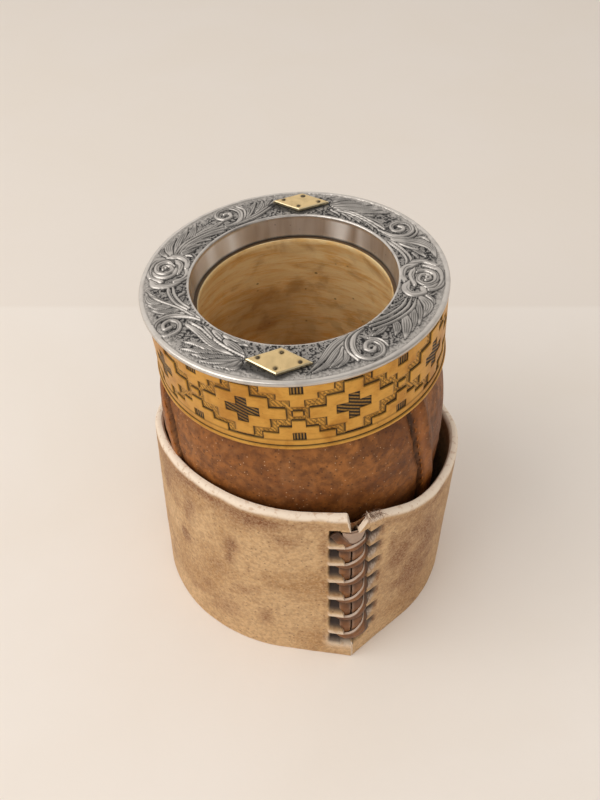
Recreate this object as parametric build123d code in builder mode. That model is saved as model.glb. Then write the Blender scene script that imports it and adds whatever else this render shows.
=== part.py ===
from build123d import *
from math import acos, asin, atan2, cos, degrees, hypot, radians, sin
import os

# A mate gourd: a calabash cup in a leather cover, with a chased silver rim on a brass band,
# standing in a laced rawhide sleeve. Millimetres, +Z up, origin on the table under the middle
# of the whole object's outline.

# Driving dimensions of the cup. Its axis leans a little towards -X; heights along it are
# counted from the outer edge of the rim, downwards negative.
lean_angle = 3.2
rim_centre = (-3.8, 2.1, 122.8)
rim_radius = 45.0
mouth_radius = 30.3
mouth_rise = 0.5
plate_thickness = 1.1
collar_depth = 7.4
collar_thickness = 0.9
band_radius = 44.1
band_thickness = 0.8
band_bottom = -25.9
band_shift = 0.7
cup_depth = 122.2
cover_thickness = 1.8
gourd_lip_radius = 28.8

# Driving dimensions of the brass diamonds and their rivets.
diamond_length = 17.8
diamond_width = 9.8
diamond_thickness = 0.9
diamond_polar = 37.3
rivet_radius = 0.55
rivet_head = 0.3

# Driving dimensions of the sleeve: a strip of rawhide bent round and laced at one corner.
sleeve_height = 74.2
foot_wall = 3.3
top_wall = 2.8
sleeve_middle = Vector(-0.15, 2.1, 0)
foot_radius = 51.8
foot_corner = 57.1
top_radius = 50.9
top_corner = 55.7
top_shift = 1.2
corner_angle = -73.8
seam_gap = 0.5

# Driving dimensions of the lacing, in the seam's own frame: across the corner, and up.
slot_count = 7
slot_inner = 4.2
left_slot_outer = 8.6
right_slot_outer = 8.2
left_slot_height = 4.9
right_slot_height = 4.8
skived_depth = 54.2
strap_width = 3.0
strap_thickness = 0.9
strap_crown = 57.3
strap_reach = 6.2
strap_ends = 53.6

os.makedirs("parts", exist_ok=True)

lean = radians(lean_angle)
cup = Plane(origin=rim_centre, x_dir=(cos(lean), 0, sin(lean)), z_dir=(-sin(lean), 0, cos(lean)))
cup_axis = Axis(cup.origin, cup.z_dir)


def cup_profile(shift=0.0):
    # The plane in which a turned piece of the cup is drawn: radius across, height up.
    return Plane(origin=cup.origin + cup.x_dir * shift, x_dir=cup.x_dir, z_dir=-cup.y_dir)


def save(piece, name):
    piece.part.label = name
    export_step(piece.part, f"parts/{name}.step")


# Outer form of the gourd, as radius and height below the rim. The cover follows it.
body_outline = [
    (41.2, -24.0),
    (43.7, -30.0),
    (45.2, -38.0),
    (45.8, -48.0),
    (45.4, -62.0),
    (43.4, -80.0),
    (38.4, -98.0),
    (29.0, -112.0),
    (15.0, -120.0),
]
outline_start = (0.6, -1)
outline_end = (-1, 0)


def scaled_in(depth):
    # The same outline moved inwards by a wall's thickness.
    middle = -70.0
    return [(r - depth, z if z > middle else z + depth * (middle - z) / (middle + cup_depth)) for r, z in body_outline]


# Calabash: neck, belly and rounded bottom, hollow, with a rebate for the collar at its lip.
gourd_outer = scaled_in(cover_thickness)
gourd_bottom = -cup_depth + cover_thickness
bowl_outline = [
    (gourd_lip_radius, -collar_depth),
    (29.6, -10.5),
    (32.6, -18.0),
    (36.6, -32.0),
    (38.9, -50.0),
    (38.4, -66.0),
    (35.6, -84.0),
    (28.0, -100.0),
    (14.0, -109.0),
]
bowl_bottom = -111.5
with BuildPart() as gourd:
    with BuildSketch(cup_profile()):
        with BuildLine():
            neck = Polyline(
                (gourd_lip_radius, -collar_depth),
                (mouth_radius + collar_thickness + 0.1, -collar_depth),
                (mouth_radius + collar_thickness + 0.1, -1.8),
                (35.6, -1.8),
            )
            shoulder = Spline(neck @ 1, (37.0, -12.0), gourd_outer[0], tangents=[(0.1, -1), outline_start])
            side = Spline(*gourd_outer, (0, gourd_bottom), tangents=[outline_start, outline_end])
            bowl = Spline(*bowl_outline, (0, bowl_bottom), tangents=[(0.05, -1), outline_end])
            Line(side @ 1, bowl @ 1)
        make_face()
    revolve(axis=cup_axis)
save(gourd, "gourd")

# Leather cover: a skin drawn over the gourd, tucked in under the band.
with BuildPart() as leather_cover:
    with BuildSketch(cup_profile()):
        with BuildLine():
            outer = Spline(*body_outline, (0, -cup_depth), tangents=[outline_start, outline_end])
            inner = Spline(*gourd_outer, (0, gourd_bottom), tangents=[outline_start, outline_end])
            Line(outer @ 0, inner @ 0)
            Line(outer @ 1, inner @ 1)
        make_face()
    revolve(axis=cup_axis)
save(leather_cover, "leather_cover")

# Silver rim: a flat ring with a rounded outer lip, rolled over into a collar at the mouth.
lip_height = 1.5
with BuildPart() as silver_rim:
    with BuildSketch(cup_profile()):
        with BuildLine():
            Polyline(
                (mouth_radius, mouth_rise),
                (rim_radius, 0),
                (rim_radius, -lip_height),
                (band_radius - 1.6, -lip_height),
                (band_radius - 1.6, -plate_thickness),
                (mouth_radius + collar_thickness, mouth_rise - plate_thickness),
                (mouth_radius + collar_thickness - 0.3, -collar_depth),
                (mouth_radius - 0.3, -collar_depth),
                close=True,
            )
        face = make_face()
        corners = face.vertices()
        fillet(corners.sort_by_distance((rim_radius, 0))[0], 0.6)
        fillet(corners.sort_by_distance((rim_radius, -lip_height))[0], 0.6)
        fillet(corners.sort_by_distance((mouth_radius, mouth_rise))[0], 0.5)
    revolve(axis=cup_axis)
save(silver_rim, "silver_rim")

# Brass band: a thin hoop under the rim with a small bead round its lower edge.
bead_height = 1.4
bead_stand = 0.5
with BuildPart() as brass_band:
    with BuildSketch(cup_profile(band_shift)):
        with BuildLine():
            Polyline(
                (band_radius, -lip_height),
                (band_radius, band_bottom + bead_height),
                (band_radius + bead_stand, band_bottom + bead_height - 0.4),
                (band_radius + bead_stand, band_bottom + 0.4),
                (band_radius, band_bottom),
                (band_radius - band_thickness, band_bottom),
                (band_radius - band_thickness, -lip_height),
                close=True,
            )
        make_face()
    revolve(axis=Axis(cup.origin + cup.x_dir * band_shift, cup.z_dir))
save(brass_band, "brass_band")


def rim_place(polar, angle, turn, stand):
    # A plane lying on the sloping ring, stand above it, x along the ring and turned a little.
    slope = mouth_rise / (rim_radius - mouth_radius)
    outward = cup.x_dir * cos(radians(angle)) + cup.y_dir * sin(radians(angle))
    level = mouth_rise * (rim_radius - polar) / (rim_radius - mouth_radius)
    normal = (cup.z_dir + outward * slope).normalized()
    centre = cup.origin + outward * polar + cup.z_dir * level + normal * stand
    along = (cup.z_dir.cross(outward)).normalized()
    if angle > 0:
        along = along * -1
    return Plane(origin=centre, x_dir=along, z_dir=normal).rotated((0, 0, turn))


# Brass diamonds, each held by four rivets whose shanks reach down to the ring.
rivet_places = [(-5.6, 0.7), (0.4, 3.0), (5.7, -0.2), (-0.4, -2.9)]
diamond_gap = 0.05
for side_name, angle, turn in (("front", -95.5, -2), ("back", 86.6, -2.7)):
    with BuildPart() as diamond:
        with BuildSketch(rim_place(diamond_polar, angle, turn, diamond_gap)):
            half_length = diamond_length / 2
            half_width = diamond_width / 2
            Polygon((-half_length, 0), (0, -half_width), (half_length, 0), (0, half_width))
            with Locations(*rivet_places):
                Circle(rivet_radius, mode=Mode.SUBTRACT)
        extrude(amount=diamond_thickness)
    save(diamond, f"diamond_{side_name}")
    for number, place in enumerate(rivet_places, start=1):
        with BuildPart() as rivet:
            with BuildSketch(rim_place(diamond_polar, angle, turn, diamond_gap)):
                with Locations(place):
                    Circle(rivet_radius)
            extrude(amount=diamond_thickness)
            with BuildSketch(rim_place(diamond_polar, angle, turn, diamond_gap + diamond_thickness)):
                with Locations(place):
                    Circle(rivet_radius + 0.15)
            extrude(amount=rivet_head, taper=35)
        save(rivet, f"rivet_{side_name}_{number}")

# The seam's frame: x across the corner, y outwards from the sleeve's middle, z up.
corner_turn = radians(corner_angle)
seam_across = Vector(-sin(corner_turn), cos(corner_turn), 0)
seam_out = Vector(cos(corner_turn), sin(corner_turn), 0)


def at_seam(across, out, up):
    return sleeve_middle + seam_across * across + seam_out * out + Vector(0, 0, up)


def seam_elevation(out):
    # A plane facing outwards at the corner: x across the seam, y up.
    return Plane(origin=at_seam(0, out, 0), x_dir=seam_across, z_dir=seam_out)


def teardrop(radius, corner, shift):
    # A circle drawn out to one corner by its two tangents.
    reach = degrees(acos(radius / corner))
    centre = sleeve_middle + Vector(shift, 0, 0)
    tip = centre + seam_out * corner
    with BuildSketch() as outline:
        with BuildLine():
            bend = CenterArc(centre, radius, corner_angle + reach, 360 - 2 * reach)
            Line(bend @ 1, tip)
            Line(tip, bend @ 0)
        make_face()
    return outline.sketch


def left_slot_top(k):
    return 67.5 - 7.9 * k - 0.18 * k * k


def right_slot_top(k):
    return 65.7 - 7.6 * k - 0.09 * k * k


# Rawhide sleeve: a strip of thick hide whose two ends meet at the corner. The ends are
# skived thin under the lacing, the upper end of the seam is open as a notch, and each end
# has a row of slots.
foot_slimming = foot_wall / sin(asin(foot_radius / foot_corner))
top_slimming = top_wall / sin(asin(top_radius / top_corner))
skive_bottom = 8.6
skive_top = 68.4
foot_outside = teardrop(foot_radius, foot_corner, 0)
top_outside = teardrop(top_radius, top_corner, top_shift)
foot_inside = teardrop(foot_radius - foot_wall, foot_corner - foot_slimming, 0)
top_inside = teardrop(top_radius - top_wall, top_corner - top_slimming, top_shift)
with BuildPart() as base_sleeve:
    with BuildSketch(Plane.XY):
        add(foot_outside)
    with BuildSketch(Plane.XY.offset(sleeve_height)):
        add(top_outside)
    loft()
    rounded = base_sleeve.faces().sort_by(Axis.Z)[-1].edges()
    fillet(rounded, 1.2)
    with BuildSketch(Plane.XY):
        add(foot_inside)
    with BuildSketch(Plane.XY.offset(sleeve_height)):
        add(top_inside)
    loft(mode=Mode.SUBTRACT)
    # The top edge is level at the front left. Seen from the front it falls away to the right,
    # and seen from the side it falls away to the back.
    with BuildSketch(Plane(origin=(0, 60, 0), x_dir=(1, 0, 0), z_dir=(0, -1, 0))):
        with BuildLine():
            fall = Spline((17, 74.2), (26.5, 68.8), (34, 65.2), (42, 62.2), (54, 59.4))
            Polyline(fall @ 1, (60, 59.4), (60, 90), (17, 90), fall @ 0)
        make_face()
    extrude(amount=120, mode=Mode.SUBTRACT)
    with BuildSketch(Plane(origin=(-60, 0, 0), x_dir=(0, 1, 0), z_dir=(1, 0, 0))):
        with BuildLine():
            fall = Spline((-20, 74.2), (-6, 70.6), (2, 67), (14, 62), (28, 59), (56, 58))
            Polyline(fall @ 1, (60, 58), (60, 90), (-20, 90), fall @ 0)
        make_face()
    extrude(amount=120, mode=Mode.SUBTRACT)
    with BuildSketch(seam_elevation(skived_depth)):
        with BuildLine():
            Polyline(
                (-slot_inner, skive_bottom),
                (slot_inner, skive_bottom),
                (slot_inner, skive_top),
                (-slot_inner, skive_top),
                close=True,
            )
        make_face()
    extrude(amount=10, mode=Mode.SUBTRACT)
    with BuildSketch(seam_elevation(40)):
        with Locations((0.3, skive_top / 2 - 2)):
            Rectangle(seam_gap, skive_top + 4)
        with BuildLine():
            Polyline((-2.7, 80), (4.2, 80), (0.9, 67.2), (-2.3, 67.2), close=True)
        make_face()
        for k in range(slot_count):
            with Locations((-(slot_inner + left_slot_outer) / 2, left_slot_top(k) - left_slot_height / 2)):
                Rectangle(left_slot_outer - slot_inner, left_slot_height)
            with Locations(((slot_inner + right_slot_outer) / 2, right_slot_top(k) - right_slot_height / 2)):
                Rectangle(right_slot_outer - slot_inner, right_slot_height)
    extrude(amount=20, mode=Mode.SUBTRACT)
save(base_sleeve, "base_sleeve")

# Lacing. Each upper strap rises from a left slot, arches over the corner and goes into the
# right slot above; each lower strap lies flat beneath, falling from left to right.
for k in range(slot_count - 1):
    left_end = at_seam(-strap_reach, strap_ends, left_slot_top(k + 1) - 2.3)
    right_end = at_seam(strap_reach, strap_ends, right_slot_top(k) - 2.3)
    crown = at_seam(0, strap_crown, left_end.Z + (right_end - left_end).Z * 0.42)
    breadth = (crown - left_end).cross(right_end - left_end)
    with BuildPart() as strap:
        with BuildLine() as path:
            ThreePointArc(left_end, crown, right_end)
        with BuildSketch(Plane(origin=path.line @ 0, x_dir=breadth, z_dir=path.line % 0)):
            Rectangle(strap_width, strap_thickness)
        sweep()
    save(strap, f"lace_over_{k + 1}")

under_floor = skived_depth + 0.1
for k in range(slot_count - 1):
    start = (-3.3, left_slot_top(k) - 2.9)
    finish = (3.3, right_slot_top(k + 1) - 0.5)
    middle = ((start[0] + finish[0]) / 2, (start[1] + finish[1]) / 2)
    run = hypot(finish[0] - start[0], finish[1] - start[1])
    slant = degrees(atan2(finish[1] - start[1], finish[0] - start[0]))
    with BuildPart() as strap:
        with BuildSketch(seam_elevation(under_floor)):
            with Locations(Location(middle, slant)):
                SlotOverall(run, strap_width)
        extrude(amount=strap_thickness)
    save(strap, f"lace_under_{k + 1}")

# The rounded end of the thong, showing above the first strap.
end_radius = 2.9
with BuildPart() as lace_end:
    with BuildSketch(seam_elevation(under_floor)):
        with Locations((1.2, 67.6)):
            Circle(end_radius)
        with Locations((1.2, 67.6 + end_radius)):
            Rectangle(3 * end_radius, 2 * end_radius, mode=Mode.SUBTRACT)
    extrude(amount=strap_thickness)
save(lace_end, "lace_end")
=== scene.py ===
import math
import bmesh
import bpy
import numpy as np
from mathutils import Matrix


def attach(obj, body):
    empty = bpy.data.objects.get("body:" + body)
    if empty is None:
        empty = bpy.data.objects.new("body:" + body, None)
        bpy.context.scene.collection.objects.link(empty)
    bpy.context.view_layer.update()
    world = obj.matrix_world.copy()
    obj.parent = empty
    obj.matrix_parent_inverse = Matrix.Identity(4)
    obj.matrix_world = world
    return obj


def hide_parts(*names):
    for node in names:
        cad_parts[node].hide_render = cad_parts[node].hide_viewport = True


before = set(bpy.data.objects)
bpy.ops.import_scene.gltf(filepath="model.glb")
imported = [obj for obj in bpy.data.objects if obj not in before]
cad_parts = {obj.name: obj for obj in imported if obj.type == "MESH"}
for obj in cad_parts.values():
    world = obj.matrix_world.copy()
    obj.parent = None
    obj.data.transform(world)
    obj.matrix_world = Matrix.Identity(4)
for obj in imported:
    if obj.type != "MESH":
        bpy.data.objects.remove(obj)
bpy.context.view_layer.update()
print("frame loaded")

mm = 0.001

# The cup leans a little; everything turned on it is placed in this frame, in millimetres.
cup = dict(rimCentre=(-3.8, 2.1, 122.8), lean=3.2, rimRadius=45.0, mouthRadius=30.3, mouthRise=0.5,
           lipHeight=1.5, collarDepth=7.4, bandRadius=44.1, bandBottom=25.9, bandShift=0.7)
lean = math.radians(cup["lean"])
cupX = np.array([math.cos(lean), 0.0, math.sin(lean)])
cupY = np.array([0.0, 1.0, 0.0])
cupZ = np.array([-math.sin(lean), 0.0, math.cos(lean)])
cupO = np.array(cup["rimCentre"])

# The sleeve: a round hoop drawn out to one laced corner.
sleeve = dict(middle=(-0.15, 2.1), height=74.2, footRadius=51.8, footCorner=57.1, topRadius=50.9,
              drawnIn=3.3, topShift=1.2, cornerAngle=-73.8, footWall=3.3, topWall=2.8, slots=7)


# Smooth step from 0 at a to 1 at b, for whole arrays.
def ease(a, b, x):
    t = np.clip((x - a) / (b - a), 0.0, 1.0)
    return t * t * (3.0 - 2.0 * t)


def mix(a, b, t):
    return a + (b - a) * t


# A bell of height 1 at a place, falling off over a width.
def bell(x, middle, width):
    return np.exp(-((x - middle) / width) ** 2)


# Value noise: a lattice of seeded random numbers, blended by smooth weights along x, y and z.
def noise(points, size, seed):
    lattice = np.random.default_rng(seed).random((32, 32, 32))
    p = np.asarray(points, float) / size
    cell = np.floor(p).astype(int)
    f = p - cell
    f = f * f * (3.0 - 2.0 * f)
    total = 0.0
    for corner in range(8):
        step = np.array([corner & 1, corner >> 1 & 1, corner >> 2 & 1])
        i = (cell + step) % 32
        weight = np.prod(np.where(step, f, 1.0 - f), axis=-1)
        total = total + weight * lattice[i[..., 0], i[..., 1], i[..., 2]]
    return total * 2.0 - 1.0


# Several octaves of that noise, each half as large and half as strong.
def roughNoise(points, size, seed, octaves=3):
    return sum(noise(points, size / 2 ** k, seed + k) / 2 ** k for k in range(octaves)) / 1.75


# That noise over a flat sheet, from the two ways along it.
def sheetNoise(x, y, size, seed):
    x, y = np.broadcast_arrays(x, y)
    return noise(np.stack([x, y, 0 * x], -1), size, seed)


# A point of the cup's frame from its radius, its angle and its height above the rim.
def onCup(radius, angle, height):
    radius, angle, height = np.broadcast_arrays(radius, angle, height)
    return (cupO + (radius * np.cos(angle))[..., None] * cupX + (radius * np.sin(angle))[..., None] * cupY
            + height[..., None] * cupZ)


# The same place in the cup's own frame, for laying noise on it.
def roundAxis(radius, angle, height):
    return np.stack([radius * np.cos(angle), radius * np.sin(angle), height + 0 * radius], -1)


# One column of numbers repeated for every step round.
def spun(column, count):
    return np.repeat(column[:, None], count, axis=1)


# A mesh object from vertices in millimetres and faces of four corners, with named values per vertex.
def meshObject(name, vertices, quads, values=None, material=None, sharp=0.0, weld=0.0):
    mesh = bpy.data.meshes.new(name)
    vertices = np.asarray(vertices, float).reshape(-1, 3)
    mesh.vertices.add(len(vertices))
    mesh.vertices.foreach_set("co", (vertices * mm).astype(np.float32).ravel())
    quads = np.asarray(quads, np.int32)
    mesh.loops.add(quads.size)
    mesh.loops.foreach_set("vertex_index", quads.ravel())
    mesh.polygons.add(len(quads))
    mesh.polygons.foreach_set("loop_start", np.arange(0, quads.size, 4, dtype=np.int32))
    mesh.update(calc_edges=True)
    for key, data in (values or {}).items():
        layer = mesh.attributes.new(key, "FLOAT", "POINT")
        layer.data.foreach_set("value", np.asarray(data, np.float32).ravel())
    if weld:
        weldMesh(mesh, weld)
    mesh.validate()
    mesh.shade_smooth()
    if sharp:
        mesh.set_sharp_from_angle(angle=math.radians(sharp))
    piece = bpy.data.objects.new(name, mesh)
    bpy.context.scene.collection.objects.link(piece)
    if material:
        mesh.materials.append(material)
    return piece


# Merges vertices closer than a distance, so that poles and seams close.
def weldMesh(mesh, distance):
    work = bmesh.new()
    work.from_mesh(mesh)
    bmesh.ops.remove_doubles(work, verts=work.verts, dist=distance * mm)
    work.to_mesh(mesh)
    work.free()


# Faces of a grid of points, wrapped round in either direction.
def gridQuads(rows, columns, wrapRows=False, wrapColumns=False):
    i = np.arange(rows if wrapRows else rows - 1)
    j = np.arange(columns if wrapColumns else columns - 1)
    i, j = np.meshgrid(i, j, indexing="ij")
    k = (i + 1) % rows
    m = (j + 1) % columns
    return np.stack([i * columns + j, k * columns + j, k * columns + m, i * columns + m], -1).reshape(-1, 4)


# A grid surface (rows by columns of points) as an object.
def gridObject(name, points, wrapRows=False, wrapColumns=False, flip=False, **options):
    quads = gridQuads(points.shape[0], points.shape[1], wrapRows, wrapColumns)
    if flip:
        quads = quads[:, ::-1]
    return meshObject(name, points, quads, **options)


def finishPiece(piece, slotName, *nodes):
    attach(piece, "root")
    if nodes:
        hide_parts(*nodes)
    return piece


# A plate with thickness from two grids, front and back, of the same shape: both faces, and walls
# along every border of the cells that are kept.
def plateObject(name, front, back, keep=None, **options):
    rows, columns = front.shape[:2]
    if keep is None:
        keep = np.ones((rows - 1, columns - 1), bool)
    shift = rows * columns
    face = gridQuads(rows, columns)[keep.ravel()]
    parts = [face, face[:, ::-1] + shift]
    held = np.pad(keep, 1)
    index = np.arange(rows * columns).reshape(rows, columns)
    below, above, left, right = held[:-1, 1:-1], held[1:, 1:-1], held[1:-1, :-1], held[1:-1, 1:]
    for border, down, turn in ((above & ~below, 0, False), (below & ~above, 0, True),
                               (right & ~left, 1, True), (left & ~right, 1, False)):
        i, j = np.nonzero(border)
        a, b = index[i, j], index[i + down, j + 1 - down]
        wall = np.stack([a, b, b + shift, a + shift], 1)
        parts.append(wall if turn else wall[:, ::-1])
    quads = np.concatenate(parts)
    used = np.unique(quads)
    renumber = np.zeros(2 * shift, np.int64)
    renumber[used] = np.arange(len(used))
    both = np.concatenate([front.reshape(-1, 3), back.reshape(-1, 3)])[used]
    values = options.pop("values", {})
    values = {key: np.tile(np.ravel(data), 2)[used] for key, data in values.items()}
    return meshObject(name, both, renumber[quads], values=values, **options)


# A curve through control points, each stretch a cubic that leaves and arrives along its neighbours.
def smoothThrough(points, count):
    p = np.asarray(points, float)
    p = np.concatenate([[2 * p[0] - p[1]], p, [2 * p[-1] - p[-2]]])
    t = np.linspace(0.0, len(p) - 3 - 1e-9, count)
    k = t.astype(int)
    f = (t - k)[:, None]
    a, b, c, d = p[k], p[k + 1], p[k + 2], p[k + 3]
    return 0.5 * (2 * b + (c - a) * f + (2 * a - 5 * b + 4 * c - d) * f ** 2 + (3 * b - a - 3 * c + d)
                  * f ** 3)


# For each point: distance to a line, how far along it the nearest place is, and the side.
def alongLine(points, line):
    a = line[:-1]
    ab = line[1:] - a
    size = np.maximum(np.hypot(ab[:, 0], ab[:, 1]), 1e-9)
    ap = points[:, None, :] - a
    s = np.clip((ap * ab).sum(-1) / size ** 2, 0.0, 1.0)
    off = ap - s[..., None] * ab
    far = np.hypot(off[..., 0], off[..., 1])
    k = far.argmin(1)
    n = np.arange(len(points))
    start = np.concatenate([[0.0], np.cumsum(size)])
    along = (start[k] + s[n, k] * size[k]) / start[-1]
    side = np.sign(ab[k, 0] * ap[n, k, 1] - ab[k, 1] * ap[n, k, 0])
    return far[n, k], along, side


# Stamps one raised stroke on the relief: a dark groove round it, then a rounded body whose
# half width is width times taper(t), with cut lines along it at the given shares of the width.
def stroke(relief, line, width, taper, top=0.3, cuts=(), groove=0.27, cutWidth=0.13, cutSpan=(0.1, 0.9)):
    reach = width + groove + 0.1
    low, high = line.min(0) - reach, line.max(0) + reach
    near = np.flatnonzero(((relief["xy"] > low) & (relief["xy"] < high)).all(1))
    if not len(near):
        return
    far, t, side = alongLine(relief["xy"][near], line)
    half = np.maximum(1.08 * width * taper(t), 0.02)
    edge = far - half
    rim = np.clip(1.0 - np.maximum(edge, 0.0) / groove, 0.0, 1.0) ** 0.6
    body = ease(0.06, -0.1, edge)
    share = side * far / half
    height = top * (1.0 - 0.7 * share ** 2)
    shade = np.zeros(len(near))
    for place in cuts:
        inCut = np.exp(-(np.abs(share - place) * half / cutWidth) ** 2)
        inCut = inCut * ease(cutSpan[0], cutSpan[0] + 0.2, t) * ease(cutSpan[1], cutSpan[1] - 0.2, t)
        shade = np.maximum(shade, inCut)
    height = height - 0.16 * shade
    relief["height"][near] = mix(mix(relief["height"][near], -0.24, rim), height, body)
    relief["dark"][near] = mix(mix(relief["dark"][near], 1.0, rim), 0.8 * shade, body)
    relief["ground"][near] *= 1.0 - np.maximum(body, 0.8 * rim)


def leafTaper(t):
    return (0.4 + 0.6 * np.sin(np.clip(t / 0.55, 0, 1) * math.pi / 2)) * np.maximum(1.0 - t ** 2.4,
                                                                                    0.0) ** 0.85


def bandTaper(t):
    return (0.3 + 0.7 * ease(0.0, 0.2, t)) * (1.0 - 0.35 * t)


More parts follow.
